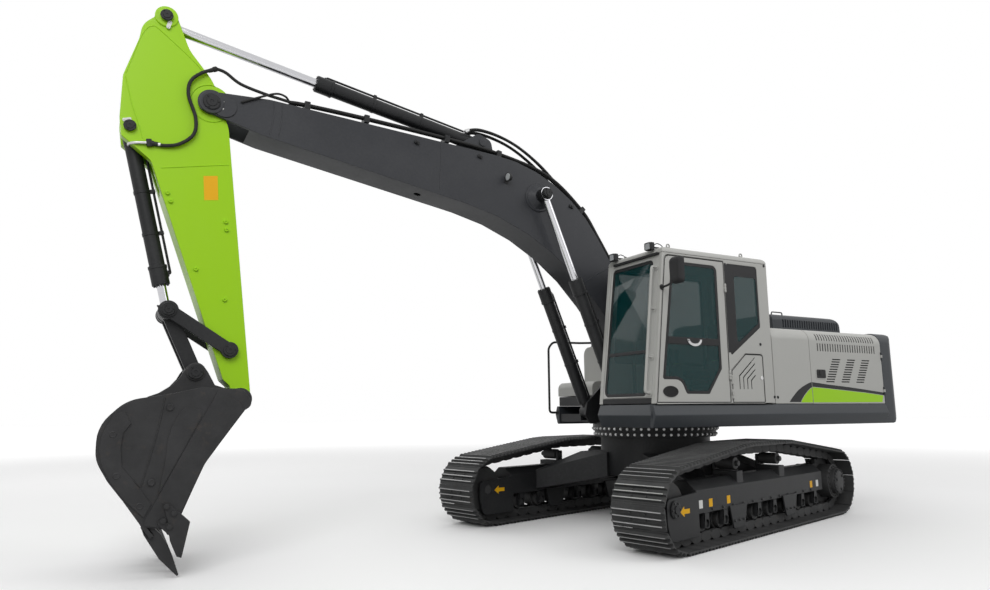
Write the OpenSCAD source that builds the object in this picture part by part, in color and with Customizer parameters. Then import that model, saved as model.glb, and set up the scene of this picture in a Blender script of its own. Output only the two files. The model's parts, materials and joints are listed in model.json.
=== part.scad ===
/* [Undercarriage] */
// Distance between the two track centre lines
track_gauge = 2590; // [2400:10:2800]
// Width of one track shoe
shoe_w = 600; // [500:10:700]
// Distance from the idler axle to the sprocket axle
wheel_base = 3820; // [3600:10:4000]
// Length of one track link
link_pitch = 190; // [180:1:200]
// Radius of the chain's pitch line round idler and sprocket
pitch_r = 325; // [310:1:340]
// Angle that the tracks are turned to the left of the upper structure
track_turn = 16; // [0:1:30]

/* [Upper structure] */
// Height of the deck above the ground
deck_z = 1420; // [1380:5:1460]
// Width over the two side skirts
upper_w = 2880; // [2800:10:2960]
// Distance from the swing axis to the rear of the counterweight
tail_r = 3060; // [2980:10:3140]
// Height of the engine house above the ground
house_z = 2340; // [2300:5:2380]
// Length of the cab
cab_l = 1815; // [1750:5:1880]
// Height of the cab's roof above the ground
cab_top = 3155; // [3050:5:3200]

/* [Boom] */
// Distance between the boom's foot pin and its tip pin
boom_len = 5890; // [5700:10:6050]
// Width of the boom's box
boom_w = 430; // [420:1:440]
// Angle of the boom's pin line above the ground
boom_rise = 23.78; // [23:0.01:30]

/* [Arm] */
// Distance between the arm's pivot and the bucket's pin
arm_len = 2917; // [2850:1:2960]
// Width of the arm's box
arm_w = 360; // [350:1:366]
// Angle from the boom's pin line down to the arm's pin line
arm_fold = 121.85; // [115:0.01:123]

/* [Bucket] */
// Width of the bucket over its side plates
bucket_w = 1200; // [1000:10:1300]
// Number of teeth on the cutting edge
tooth_count = 5; // [3:1:6]

/* [Cylinders] */
// Diameter of the boom cylinders' barrels
boom_barrel_d = 150; // [140:1:156]
// Diameter of the boom cylinders' rods
boom_rod_d = 85; // [75:1:95]
// Diameter of the arm cylinder's barrel
arm_barrel_d = 160; // [145:1:166]
// Diameter of the arm cylinder's rod
arm_rod_d = 100; // [85:1:105]
// Diameter of the bucket cylinder's barrel
bucket_barrel_d = 140; // [130:1:146]
// Diameter of the bucket cylinder's rod
bucket_rod_d = 85; // [75:1:90]

/* [Hidden] */
$fn = 48;

// Running clearance of a pin in its bore, and of a seated face
pin_gap = 0.3;
// Gap round a door or a lid
door_gap = 6;
// Degrees turned by one facet of a rounded corner
arc_step = 9;

// Places in the plane of the arm, as [forward, up] from the swing axis on the ground
boom_foot = [200, deck_z + 580];
boom_cyl_foot = [793, deck_z - 76];
boom_tip = boom_foot + boom_len * [cos(boom_rise), sin(boom_rise)];
arm_tilt = boom_rise - arm_fold;

// Pins on the boom, along and above its pin line
boom_rod_pin = [2276, 1092];
arm_base_pin = [3173, 1366];

// Pins on the arm, along and in front of its pin line
arm_rod_pin = [-862, 332];
bucket_base_pin = [262, 735];
lever_pin = [arm_len - 472, 53];
lever_end = lever_pin + [-426, 496];
bucket_pin = [arm_len, 0];
link_pin = bucket_pin + [-302, 369];

// Distance of each boom cylinder from the machine's middle
boom_cyl_y = 360;

// The front reach of the bucket linkage and the tail are equally far from the origin
reach_x = 6366;
swing_x = -(reach_x - tail_r) / 2;

// Track chain and shoes
rail_h = 50;
plate_h = 14;
grouser_h = 28;
axle_z = pitch_r + rail_h + plate_h + grouser_h;
carrier_r = 66;
carrier_z = 776;
carrier_x = [560, -470];
carrier_path_r = 134;

function unit(v) = v / norm(v);
function polar(r, a) = [r * cos(a), r * sin(a)];
function turned(p, a) = [p.x * cos(a) - p.y * sin(a), p.x * sin(a) + p.y * cos(a)];
function heading(v) = atan2(v.y, v.x);
function wrapped(a) = a - 360 * floor((a + 180) / 360);
function sum(v, i = 0) = i < len(v) ? v[i] + sum(v, i + 1) : 0;
function flat(lists) = [for (l = lists) each l];

// Points of an arc round c from angle a to angle b
function arc(c, r, a, b) =
  let (n = max(1, ceil(abs(b - a) / arc_step)))
  [for (i = [0:n]) c + polar(r, a + (b - a) * i / n)];

// A polygon from corners [x, y, radius], each rounded by its radius
function rounded(corners) =
  let (n = len(corners))
  flat([
    for (i = [0:n - 1])
      let (
        c = corners[i],
        p = [c.x, c.y],
        q = corners[(i + n - 1) % n],
        s = corners[(i + 1) % n],
        r = c[2] == undef ? 0 : c[2],
        u = unit([q.x, q.y] - p),
        v = unit([s.x, s.y] - p),
        half = acos(max(-1, min(1, u * v))) / 2
      )
      r == 0 ? [p] :
      let (
        m = p + unit(u + v) * r / sin(half),
        a = heading(p + u * r / tan(half) - m),
        b = heading(p + v * r / tan(half) - m)
      )
      arc(m, r, a, a + wrapped(b - a))
  ]);

// Corners moved inwards by t, for corners that run anticlockwise
function inset(corners, t) =
  let (n = len(corners))
  [
    for (i = [0:n - 1])
      let (
        c = corners[i],
        p = [c.x, c.y],
        q = corners[(i + n - 1) % n],
        s = corners[(i + 1) % n],
        u = unit(p - [q.x, q.y]),
        v = unit([s.x, s.y] - p),
        nu = [-u.y, u.x],
        nv = [-v.y, v.x],
        m = p + t * (nu + nv) / (1 + nu * nv)
      )
      [m.x, m.y, max(0, (c[2] == undef ? 0 : c[2]) - t)]
  ];

// A place on the boom, the arm or the bucket in the plane of the arm
function on_boom(p) = boom_foot + turned(p, boom_rise);
function on_arm(p) = boom_tip + turned(p, arm_tilt);

// Everything on the upper structure, and everything on the tracks
module upper() translate([swing_x, 0, 0]) children();
module under() translate([swing_x, 0, 0]) rotate([0, 0, track_turn]) children();

// A frame in the plane of the arm, at p and turned up by a
module placed(p, a) translate([p.x, 0, p.y]) rotate([0, -a, 0]) children();

// A profile in the plane of the arm made w thick about the distance y
module plate(w, y = 0) translate([0, y, 0]) rotate([90, 0, 0])
  linear_extrude(w, center = true) children();

// The same profile on both sides
module plates(w, y) {
  plate(w, y) children();
  plate(w, -y) children();
}

// A round bar across the machine at p
module bar(p, r, w, y = 0) translate([p.x, y, p.y])
  rotate([90, 0, 0]) cylinder(r = r, h = w, center = true);
module bars(p, r, w, y) {
  bar(p, r, w, y);
  bar(p, r, w, -y);
}

// A plan outline made into a block from height a to height b
module slab(a, b) translate([0, 0, a]) linear_extrude(b - a) children();

// A box between two corners
module block(a, b) translate(a) cube(b - a);

module rounded_box(a, b, r) {
  translate([0, 0, a.z]) linear_extrude(b.z - a.z)
    polygon(rounded([[a.x, a.y, r], [b.x, a.y, r], [b.x, b.y, r], [a.x, b.y, r]]));
}

// A round tube along a list of points, as one closed surface
function ring(points, i, r, sides) =
  let (
    n = len(points),
    t = unit(points[min(i + 1, n - 1)] - points[max(i - 1, 0)]),
    side = abs(t.y) > 0.9 ? [1, 0, 0] : [0, 1, 0],
    u = unit(cross(side, t)),
    v = cross(t, u)
  )
  [for (k = [0:sides - 1]) points[i] + r * (cos(360 * k / sides) * u + sin(360 * k / sides) * v)];
module tube(points, r, sides = 10) {
  n = len(points);
  walls = [
    for (i = [0:n - 2], k = [0:sides - 1])
      let (l = (k + 1) % sides)
      [i * sides + k, (i + 1) * sides + k, (i + 1) * sides + l, i * sides + l]
  ];
  ends = [
    [for (k = [0:sides - 1]) k],
    [for (k = [sides - 1:-1:0]) (n - 1) * sides + k]
  ];
  polyhedron([for (i = [0:n - 1]) each ring(points, i, r, sides)], concat(walls, ends), 10);
}
// Points of a smooth curve through p
function bend(a, b, c, d, t) =
  ((2 * b) + (c - a) * t + (2 * a - 5 * b + 4 * c - d) * t * t + (3 * b - a - 3 * c + d) * t * t * t) / 2;
function smooth(p, steps = 4) =
  let (n = len(p))
  concat(
    [
      for (i = [0:n - 2], k = [0:steps - 1])
        bend(p[max(i - 1, 0)], p[i], p[i + 1], p[min(i + 2, n - 1)], k / steps)
    ],
    [p[n - 1]]
  );

// Track loop
// The chain's pitch line wraps these circles [x, z, radius], anticlockwise from the idler
wraps = [
  [wheel_base / 2, axle_z, pitch_r],
  [carrier_x[0], carrier_z, carrier_path_r],
  [carrier_x[1], carrier_z, carrier_path_r],
  [-wheel_base / 2, axle_z, pitch_r]
];
function tangent_angle(a, b) =
  let (d = [b.x - a.x, b.y - a.y])
  heading(d) - acos((a[2] - b[2]) / norm(d));
leave = [for (i = [0:3]) tangent_angle(wraps[i], wraps[(i + 1) % 4])];
// Each stretch is an arc followed by a straight run, as [circle, first angle, turn, run]
stretches = [
  for (i = [0:3])
    let (
      first = leave[(i + 3) % 4],
      turn = let (d = leave[i] - first) d - 360 * floor(d / 360),
      a = wraps[i],
      b = wraps[(i + 1) % 4],
      run = norm([b.x, b.y] + polar(b[2], leave[i]) - [a.x, a.y] - polar(a[2], leave[i]))
    )
    [a, first, turn, run]
];
function stretch_length(s) = PI * s[0][2] * s[2] / 180 + s[3];
loop_length = sum([for (s = stretches) stretch_length(s)]);
link_count = round(loop_length / link_pitch);
// The point at distance d along the loop
function loop_point(d, i = 0) =
  let (
    s = stretches[i],
    c = [s[0].x, s[0].y],
    r = s[0][2],
    bow = PI * r * s[2] / 180,
    out = s[1] + s[2]
  )
  d <= bow ? c + polar(r, s[1] + d * 180 / (PI * r)) :
  d <= bow + s[3] || i == 3 ? c + polar(r, out) + (d - bow) * polar(1, out + 90) :
  loop_point(d - bow - s[3], i + 1);
hinges = [for (i = [0:link_count - 1]) loop_point(loop_length * i / link_count)];
// The loop of links moved outwards by v
function loop_at(v) =
  let (c = inset([for (h = hinges) h], -v))
  [for (p = c) [p.x, p.y]];
// One shoe's outer outline with its three grousers
function shoe(i) =
  let (
    a = hinges[i],
    b = hinges[(i + 1) % link_count],
    u = unit(b - a),
    v = [u.y, -u.x],
    l = norm(b - a),
    plate_top = rail_h + plate_h,
    foot = l / 15
  )
  [
    for (g = [1, 3, 5])
      each [
        a + u * (l * g / 6 - foot) + v * plate_top,
        a + u * (l * g / 6) + v * (plate_top + grouser_h),
        a + u * (l * g / 6 + foot) + v * plate_top
      ]
  ];
shoe_outline = [for (i = [0:link_count - 1]) each shoe(i)];

module shoes(side) {
  color([0.13, 0.13, 0.13])
    under()
      plate(shoe_w, side * track_gauge / 2)
        difference() {
          polygon(shoe_outline);
          polygon(loop_at(rail_h));
        }
}
module track_left() shoes(1);
module track_right() shoes(-1);

// Two rails of track links under the shoes
rail_y = 85;
rail_w = 45;
module chain(side) {
  color([0.18, 0.17, 0.16])
    under()
      for (k = [-1, 1])
        plate(rail_w, side * track_gauge / 2 + k * rail_y)
          difference() {
            polygon(loop_at(rail_h - pin_gap));
            polygon(loop_at(-rail_h));
          }
}
module link_chain_left() chain(1);
module link_chain_right() chain(-1);

// Chain rails lie on the wheels along straight links, so a wheel is as large as one link's chord leaves
half_link = asin(link_pitch / (2 * pitch_r));
wheel_r = pitch_r * cos(half_link) - rail_h - 2;
wheel_w = 2 * rail_y + rail_w;
axle_r = 55;
axle_w = 330;
frame_w = 300;
fork_w = 34;

module both_tracks() for (s = [-1, 1]) translate([0, s * track_gauge / 2, 0]) children();

module idlers() {
  color([0.14, 0.14, 0.14])
    under()
      both_tracks()
        translate([wheel_base / 2, 0, axle_z])
          rotate([90, 0, 0]) {
            cylinder(r = wheel_r, h = wheel_w, center = true);
            cylinder(r = wheel_r + 24, h = 2 * rail_y - rail_w - 20, center = true);
            cylinder(r = axle_r, h = axle_w, center = true);
          }
}

tooth_number = 21;
module sprockets() {
  color([0.15, 0.15, 0.15])
    under()
      for (s = [-1, 1])
        translate([-wheel_base / 2, s * track_gauge / 2, axle_z])
          rotate([90, 0, 0]) {
            linear_extrude(56, center = true)
              polygon([
                for (i = [0:tooth_number - 1], k = [0:3])
                  polar(
                    k == 1 || k == 2 ? pitch_r + 8 : pitch_r - 34,
                    360 * (i + [0.12, 0.4, 0.6, 0.88][k]) / tooth_number
                  )
              ]);
            translate([0, 0, -s * 60]) cylinder(r = 215, h = 260, center = true);
            translate([0, 0, -s * 215]) cylinder(r = 165, h = 50, center = true);
            translate([0, 0, s * 170]) cylinder(r = 200, h = 240, center = true);
          }
}

roller_count = 8;
roller_r = 86;
roller_z = axle_z - pitch_r + rail_h + roller_r + pin_gap;
roller_span = wheel_base - 1160;
module track_rollers() {
  color([0.14, 0.14, 0.14])
    under()
      both_tracks()
        for (i = [0:roller_count - 1])
          translate([roller_span * (i / (roller_count - 1) - 0.5), 0, roller_z])
            rotate([90, 0, 0]) {
              cylinder(r = roller_r, h = wheel_w, center = true);
              cylinder(r = roller_r + 16, h = 2 * rail_y - rail_w - 20, center = true);
              cylinder(r = 40, h = frame_w, center = true);
            }
}

module carrier_rollers() {
  color([0.14, 0.14, 0.14])
    under()
      both_tracks()
        for (x = carrier_x)
          translate([x, 0, carrier_z])
            rotate([90, 0, 0]) {
              cylinder(r = carrier_r, h = wheel_w, center = true);
              translate([0, 0, 10]) cylinder(r = 30, h = frame_w + 10, center = true);
            }
}

// Side frame: a roof-topped box beam with a fork for the idler at its front end
beam_front = wheel_base / 2 - 395;
beam_rear = -wheel_base / 2 + 345;
beam_low = roller_z + roller_r + 20;
beam_high = 560;
beam_ridge = 650;
module track_frame() {
  half = frame_w / 2 + 20;
  // beam
  translate([beam_rear, 0, 0])
    rotate([90, 0, 90])
      linear_extrude(beam_front - beam_rear)
        polygon([
          [-half, beam_low], [half, beam_low], [half, beam_high], [60, beam_ridge],
          [-60, beam_ridge], [-half, beam_high]
        ]);
  // roller brackets
  for (i = [0:roller_count - 1], k = [-1, 1])
    translate([roller_span * (i / (roller_count - 1) - 0.5), k * (wheel_w / 2 + 36), 0])
      difference() {
        block([-48, -28, roller_z - 46], [48, 28, beam_low + 1]);
        translate([0, 0, roller_z]) rotate([90, 0, 0]) cylinder(r = 40 + pin_gap, h = 80, center = true);
      }
  // idler fork
  for (k = [-1, 1])
    plate(fork_w, k * (half - fork_w / 2))
      difference() {
        polygon(rounded([
          [beam_front - 40, 120, 20], [beam_front + 480, 120, 90], [beam_front + 530, 300, 40],
          [beam_front + 530, 520, 60], [beam_front - 40, 548, 10]
        ]));
        translate([wheel_base / 2, axle_z]) circle(r = axle_r + pin_gap);
      }
  // track guards
  for (x = [700, -560], k = [-1, 1])
    plate(20, k * (half + 10))
      polygon(rounded([[x - 190, beam_low + 25], [x - 120, 118, 40], [x + 120, 118, 40],
        [x + 190, beam_low + 25]]));
  // carrier posts
  for (x = carrier_x)
    difference() {
      block([x - 70, -half + 30, beam_high - 30], [x + 70, half - 20, carrier_z - carrier_r - 12]);
      translate([x, 0, carrier_z])
        rotate([90, 0, 0]) cylinder(r = 30 + pin_gap, h = 2 * half, center = true);
    }
  for (x = carrier_x)
    difference() {
      block([x - 50, -half + 18, beam_high], [x + 50, -half + 48, carrier_z + 48]);
      translate([x, 0, carrier_z])
        rotate([90, 0, 0]) cylinder(r = 30 + pin_gap, h = 2 * half, center = true);
    }
  // drive carrier
  difference() {
    plate(40, -half + 20)
      polygon(rounded([
        [beam_rear + 30, beam_low], [beam_rear + 30, 620], [-wheel_base / 2 - 120, 640, 150],
        [-wheel_base / 2 - 260, axle_z, 200], [-wheel_base / 2 - 120, beam_low - 60, 150]
      ]));
    translate([-wheel_base / 2, 0, axle_z])
      rotate([90, 0, 0]) cylinder(r = 200 + pin_gap, h = 4 * half, center = true);
  }
}
module side_frame(side) {
  color([0.16, 0.16, 0.16])
    under()
      translate([0, side * track_gauge / 2, 0])
        mirror([0, side < 0 ? 1 : 0, 0]) track_frame();
}
module track_frame_left() side_frame(1);
module track_frame_right() side_frame(-1);

// Car body: a drum under the slew ring and four legs to the side frames
drum_r = 690;
drum_low = 560;
drum_high = 1030;
leg_x = 880;
module car_body() {
  reach = track_gauge / 2 - frame_w / 2 - 20 - pin_gap;
  color([0.16, 0.16, 0.16])
    under()
      difference() {
        union() {
          translate([0, 0, drum_low]) cylinder(r = drum_r, h = drum_high - drum_low);
          translate([0, 0, drum_low - 150]) cylinder(r = 420, h = 160);
          for (sx = [-1, 1], sy = [-1, 1])
            hull() {
              translate([sx * 470, sy * 470, drum_low + 130]) cube([420, 420, 300], center = true);
              translate([sx * leg_x, sy * (reach - 10), beam_low + 150])
                cube([380, 20, 230], center = true);
            }
        }
        translate([0, 0, drum_low - 200]) cylinder(r = 160, h = 700);
      }
}

// Slew ring: a fixed race on the drum and the upper flange that turns on it
ring_r = 770;
ring_z = drum_high;
ring_h = 70;
module slew_ring() {
  color([0.1, 0.1, 0.1])
    under()
      translate([0, 0, ring_z + pin_gap])
        difference() {
          cylinder(r = ring_r, h = ring_h, $fn = 96);
          translate([0, 0, -1]) cylinder(r = ring_r - 150, h = ring_h + 2, $fn = 96);
        }
}

// Revolving frame: floor slabs, two tall centre webs and the cylinder feet
web_y = 255;
web_t = 40;
floor_t = 110;
skirt_low = deck_z - 250;
floor_z = skirt_low + 30 + floor_t;
// Length of the counterweight along the machine
weight_l = 360;
house_front = -650;
house_rear = -tail_r + weight_l;
// Height of the webs under the engine
web_low = deck_z + 60;
web_outline = [
  [house_rear, skirt_low + 20], [boom_cyl_foot.x + 40, skirt_low + 20, 40],
  [boom_cyl_foot.x + 120, boom_cyl_foot.y - 40, 40],
  [boom_cyl_foot.x + 90, boom_cyl_foot.y + 110, 80], [boom_foot.x + 190, boom_foot.y - 90, 60],
  [boom_foot.x + 150, boom_foot.y + 175, 140], [boom_foot.x - 190, boom_foot.y + 150, 150],
  [-420, deck_z + 130, 200],
  [-900, web_low, 200], [house_rear, web_low]
];
pin_r = 55;
module swing_frame() {
  color([0.17, 0.17, 0.18])
    upper() {
      difference() {
        union() {
          plates(web_t, web_y) polygon(rounded(web_outline));
          // flange on the slew ring
          translate([0, 0, ring_z + ring_h + 2 * pin_gap])
            cylinder(r = ring_r + 20, h = skirt_low + 40 - ring_z - ring_h, $fn = 96);
          // floor slabs
          block([house_rear, web_y, skirt_low + 30], [boom_cyl_foot.x - 240, upper_w / 2 - 80, floor_z]);
          block([0, cab_y0, skirt_low + 30], [cab_front_x - 50, upper_w / 2 - 80, floor_z]);
          block([house_rear, -upper_w / 2 + 80, skirt_low + 30], [tool_front, -web_y, floor_z]);
          block([house_rear, -web_y, skirt_low + 20], [boom_cyl_foot.x - 160, web_y, skirt_low + 50]);
          // outer lugs of the boom cylinder feet
          plates(22, boom_cyl_y + 68)
            polygon(rounded([
              [boom_cyl_foot.x - 150, skirt_low + 40], [boom_cyl_foot.x + 60, skirt_low + 40, 20],
              [boom_cyl_foot.x + 85, boom_cyl_foot.y + 75, 70],
              [boom_cyl_foot.x - 85, boom_cyl_foot.y + 75, 70]
            ]));
          plates(150, boom_cyl_y - 10) polygon([
            [boom_cyl_foot.x - 240, skirt_low + 40], [boom_cyl_foot.x + 60, skirt_low + 40],
            [boom_cyl_foot.x + 60, skirt_low + 62], [boom_cyl_foot.x - 240, skirt_low + 62]
          ]);
        }
        bar(boom_foot, pin_r, 4 * web_y);
      }
      bar(boom_foot, pin_r - 1, 2 * web_y + 90);
      bars(boom_foot, 92, 30, web_y + web_t / 2 + 15);
      bars(boom_cyl_foot, pin_r - 15, boom_cyl_y + 85 - web_y, (boom_cyl_y + 85 + web_y) / 2);
    }
}

// Side skirts: a ridged strip along each edge and across the front of the cab
cab_front_x = 1200;
skirt_depth = 130;
tool_front = 560;
module skirt_run(from, to, side) {
  mirror([0, side < 0 ? 1 : 0, 0])
    translate([from, upper_w / 2, 0])
      rotate([90, 0, 90])
        linear_extrude(to - from) polygon([
          [-79.7, skirt_low], [-30, skirt_low], [20, deck_z - 118], [-22, deck_z - 2], [-79.7, deck_z - 2]
        ]);
}
module side_skirts() {
  color([0.24, 0.25, 0.27])
    upper() {
      skirt_run(house_rear + 2, cab_front_x + 12, 1);
      skirt_run(house_rear + 2, tool_front + 20, -1);
      // front strip under the cab
      translate([cab_front_x + 10, upper_w / 2 - 40, 0])
        rotate([90, 0, 0])
          linear_extrude(upper_w / 2 - 40 - cab_y0)
            polygon([[-59.7, skirt_low], [-30, skirt_low], [20, deck_z - 118], [-22, deck_z - 2],
              [-59.7, deck_z - 2]]);
    }
}

// Counterweight: a curved plan cut by a rounded rear profile and by the house's shoulders
weight_top = house_z + 15;
module weight_body() {
  half = upper_w / 2 - 30;
  front = house_rear - pin_gap;
  intersection() {
    slab(skirt_low, weight_top)
      polygon(rounded([
        [front, -half], [-tail_r + 45, -half, 160], [-tail_r, -half / 2, 900], [-tail_r, half / 2, 900],
        [-tail_r + 45, half, 160], [front, half]
      ]));
    plate(2 * upper_w)
      polygon(rounded([
        [front, skirt_low], [front, weight_top], [-tail_r + 75, weight_top, 70],
        [-tail_r, weight_top - 260, 400],
        [-tail_r, skirt_low + 250, 200], [-tail_r + 150, skirt_low, 100]
      ]));
    translate([-2 * tail_r, 0, 0])
      rotate([90, 0, 90])
        linear_extrude(2 * tail_r)
          polygon(rounded([
            [-half - 1, skirt_low - 1], [half + 1, skirt_low - 1], [half + 1, weight_top - 1, shoulder_r],
            [-half - 1, weight_top - 1, shoulder_r]
          ]));
  }
}
module counterweight() {
  color([0.2, 0.21, 0.22])
    upper() {
      difference() {
        weight_body();
        for (s = [-1, 1], z = service_hinge_z)
          translate([service_hinge.x, s * service_hinge.y, z]) knuckle(1, 1);
      }
      for (s = [-1, 1], z = service_hinge_z)
        translate([service_hinge.x, s * service_hinge.y, z]) frame_knuckles();
    }
}

module engine_block() {
  color([0.35, 0.35, 0.36])
    upper()
      block([house_rear + 550, -700, web_low + pin_gap], [panel_split + 50, 700, house_z - 190]);
}

// House: fixed side panels with rounded shoulders, a bulkhead and the top round the hood
panel_t = 40;
shoulder_r = 150;
panel_split = house_front - 650;
panel_low = deck_z + 2;
hood_front = house_front - 590;
hood_rear = house_rear + 130;
hood_half = 940;
hood_z = house_z + 250;
// A side wall's section with its rounded shoulder, from the outer face inwards
function wall_section(y, top, inner) = concat(
  [[y - panel_t, panel_low], [y, panel_low]],
  arc([y - shoulder_r, top - shoulder_r], shoulder_r, 0, 90),
  [[inner, top], [inner, top - panel_t]],
  [for (p = arc([y - shoulder_r, top - shoulder_r], shoulder_r - panel_t, 90, 0)) p]
);
module side_wall(from, to, side, inner) {
  mirror([0, side < 0 ? 1 : 0, 0])
    translate([from, 0, 0])
      rotate([90, 0, 90])
        linear_extrude(to - from) polygon(wall_section(upper_w / 2 - 25, house_z, inner));
}
shoulder_in = upper_w / 2 - 25 - shoulder_r - 20;
module house_panels() {
  color([0.72, 0.71, 0.69])
    upper() {
      for (s = [-1, 1]) side_wall(panel_split, house_front, s, hood_half - 60);
      // bulkhead behind the cab and the tanks
      difference() {
        block([house_front - 40, -upper_w / 2 + 80, deck_z - 2],
          [house_front, upper_w / 2 - 66, house_z - panel_t + 1]);
        plates(web_t + 2 * pin_gap, web_y) polygon(rounded(inset(web_outline, -pin_gap)));
      }
      // top round the engine opening
      difference() {
        block([house_rear + 6, -shoulder_in + door_gap, house_z - panel_t],
          [house_front, shoulder_in - door_gap, house_z]);
        block([hood_rear + 60, -hood_half + 60, 0], [hood_front - 60, hood_half - 60, 3000]);
        for (y = hood_hinge_y) across(hood_hinge, y) knuckle(1, 1);
      }
      for (y = hood_hinge_y) across(hood_hinge, y) frame_knuckles();
      // posts that carry the rear of the top
      for (s = [-1, 1])
        translate([house_rear + 40, s * (shoulder_in - 90), floor_z + pin_gap])
          block([-30, -30, 0], [30, 30, house_z - 20 - floor_z]);
    }
}

// Fuel and oil tanks on the right, in front of the pump room
tank_front = 90;
// Distance of the tanks' inner side from the machine's middle
tank_in = 560;
module right_tanks() {
  color([0.72, 0.71, 0.69])
    upper() {
      difference() {
        translate([house_front + pin_gap, 0, 0])
          rotate([90, 0, 90])
            linear_extrude(tank_front - house_front)
              polygon(rounded([
                [-upper_w / 2 + 25, deck_z], [-tank_in, deck_z], [-tank_in, house_z - 60, 60],
                [-upper_w / 2 + 25, house_z - 60, 120]
              ]));
        for (y = lid_hinge_y) across(lid_hinge, y) knuckle(1, 1);
      }
      for (y = lid_hinge_y) across(lid_hinge, y) frame_knuckles();
    }
}

// Tool box in front of the tanks
box_top = 1640;
module tool_box() {
  color([0.2, 0.2, 0.21])
    upper()
      difference() {
        rounded_box([tank_front + 1, -upper_w / 2 + 40, deck_z],
          [tool_front, -tank_in, box_top - 90], 30);
        rounded_box([tank_front + 31, -upper_w / 2 + 70, deck_z + 30],
          [tool_front - 30, -tank_in - 30, box_top], 20);
      }
}
module tool_box_lid() {
  color([0.72, 0.71, 0.69])
    upper() {
      difference() {
        plate(upper_w / 2 - 40 - tank_in, -(upper_w / 2 - 40 + tank_in) / 2)
            polygon(rounded([
              [tank_front + 8, box_top - 84], [tool_front + 4, box_top - 84, 10],
              [tool_front + 4, box_top + 110, 90],
              [tank_front + 8, box_top + 110, 4]
            ]));
        plate(upper_w / 2 - 100 - tank_in, -(upper_w / 2 - 40 + tank_in) / 2)
          polygon(rounded([
            [tank_front + 38, box_top - 100], [tool_front - 26, box_top - 100],
            [tool_front - 26, box_top + 80, 70],
            [tank_front + 38, box_top + 80, 10]
          ]));
        for (y = lid_hinge_y) across(lid_hinge, y) frame_knuckles(1);
      }
      for (y = lid_hinge_y) across(lid_hinge, y) knuckle(1);
    }
}

// Cab, beside the lane of the left boom cylinder
cab_rear_x = cab_front_x - cab_l;
cab_y0 = boom_cyl_y + 98;
cab_y1 = upper_w / 2 - 2;
cab_w = cab_y1 - cab_y0;
cab_low = deck_z + 5;
cab_lean = 205;
wall_t = 60;
roof_low = cab_top - 72;
sill_z = cab_low + 60;
// The leaning front at the height z, and the direction that it faces
function front_at(z) = cab_front_x - cab_lean * (z - cab_low) / (cab_top - cab_low);
front_out = unit([cab_top - cab_low, 0, cab_lean]);
side_outline = [
  [cab_rear_x, cab_low], [front_at(cab_low), cab_low], [front_at(roof_low), roof_low],
  [cab_rear_x, roof_low]
];
// Cab door, its front edge along the leaning pillar
door_rear = cab_front_x - 1108;
door_low = cab_low + 10;
door_top = roof_low - 26;
door_front = 34;
function door_outline(g) = rounded([
  [door_rear - g, door_low - g, 12], [front_at(door_low) - door_front + g, door_low - g, 12],
  [front_at(door_top) - door_front + g, door_top + g, 70], [door_rear - g, door_top + g, 20]
]);
// Door window: an arch over the port at the lower front, a slant at the lower rear
window_low = cab_low + 105;
arch_z = cab_low + 258;
window_top = door_top - 64;
function door_window(g) = rounded([
  [door_rear + 318 + g, window_low + g, 20], [door_rear + 650 - g, window_low + g, 40],
  [door_rear + 725 - g, arch_z + g, 110], [front_at(arch_z) - 98 - g, arch_z + g, 25],
  [front_at(window_top) - 135 - g, window_top - g, 60], [door_rear + 112 + g, window_top - g, 70],
  [door_rear + 112 + g, cab_low + 385 + g, 20]
]);
// Rear quarter window with its slanted lower edge
quarter_front = door_rear - 42;
quarter_rear = cab_rear_x + 165;
function quarter_window(g) = rounded([
  [quarter_front - g, cab_low + 535 + g * 1.6, 20], [quarter_front - g, door_top - 20 - g, 30],
  [quarter_rear + g, door_top - 20 - g, 40], [quarter_rear + g, cab_low + 885 + g * 0.6, 30]
]);
// Hatch below the quarter window, with its slanted upper front corner
hatch_front = door_rear - 34;
hatch_top = cab_low + 565;
function hatch_outline(g) = rounded([
  [hatch_front + g, door_low - g, 10], [hatch_front + g, cab_low + 370 + g * 0.5, 20],
  [hatch_front - 233, hatch_top + g, 30], [quarter_rear - 5 - g, hatch_top + g, 40],
  [quarter_rear - 5 - g, door_low - g, 20]
]);
// Four bent slits in the hatch, shorter towards the rear
slit_w = 13;
slit_x = hatch_front - 130;
module slit(i) {
  x = slit_x - 62 * i;
  knee = cab_low + 310 - 16 * i;
  run = x - (quarter_rear + 125);
  polygon([
    [x, cab_low + 161], [x + slit_w, cab_low + 161], [x + slit_w, knee + 5],
    [x - run, knee + 0.83 * run + 13], [x - run, knee + 0.83 * run - 4], [x, knee - 2]
  ]);
}

module cab_floor() {
  color([0.3, 0.3, 0.3])
    upper() {
      block(
        [cab_rear_x, cab_y0 + wall_t + pin_gap, cab_low],
        [front_at(sill_z) - pin_gap, cab_y1 - wall_t - pin_gap, sill_z - pin_gap]
      );
      for (x = [cab_rear_x + 200, cab_front_x - 250], y = [cab_y0 + 160, cab_y1 - 160])
        translate([x, y, floor_z + pin_gap]) cylinder(r = 60, h = cab_low - floor_z + 1);
    }
}
module cab_left() {
  color([0.74, 0.73, 0.71])
    upper() {
      difference() {
        plate(wall_t, cab_y1 - wall_t / 2)
          difference() {
            polygon(side_outline);
            polygon(door_outline(door_gap));
            polygon(quarter_window(0));
            polygon(hatch_outline(door_gap));
          }
        for (z = door_hinge_z) translate([door_hinge.x, door_hinge.y, z]) knuckle(1, 1);
        for (z = hatch_hinge_z) translate([hatch_hinge.x, hatch_hinge.y, z]) knuckle(1, 1);
      }
      for (z = door_hinge_z) translate([door_hinge.x, door_hinge.y, z]) frame_knuckles();
      for (z = hatch_hinge_z) translate([hatch_hinge.x, hatch_hinge.y, z]) frame_knuckles();
    }
}
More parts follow.
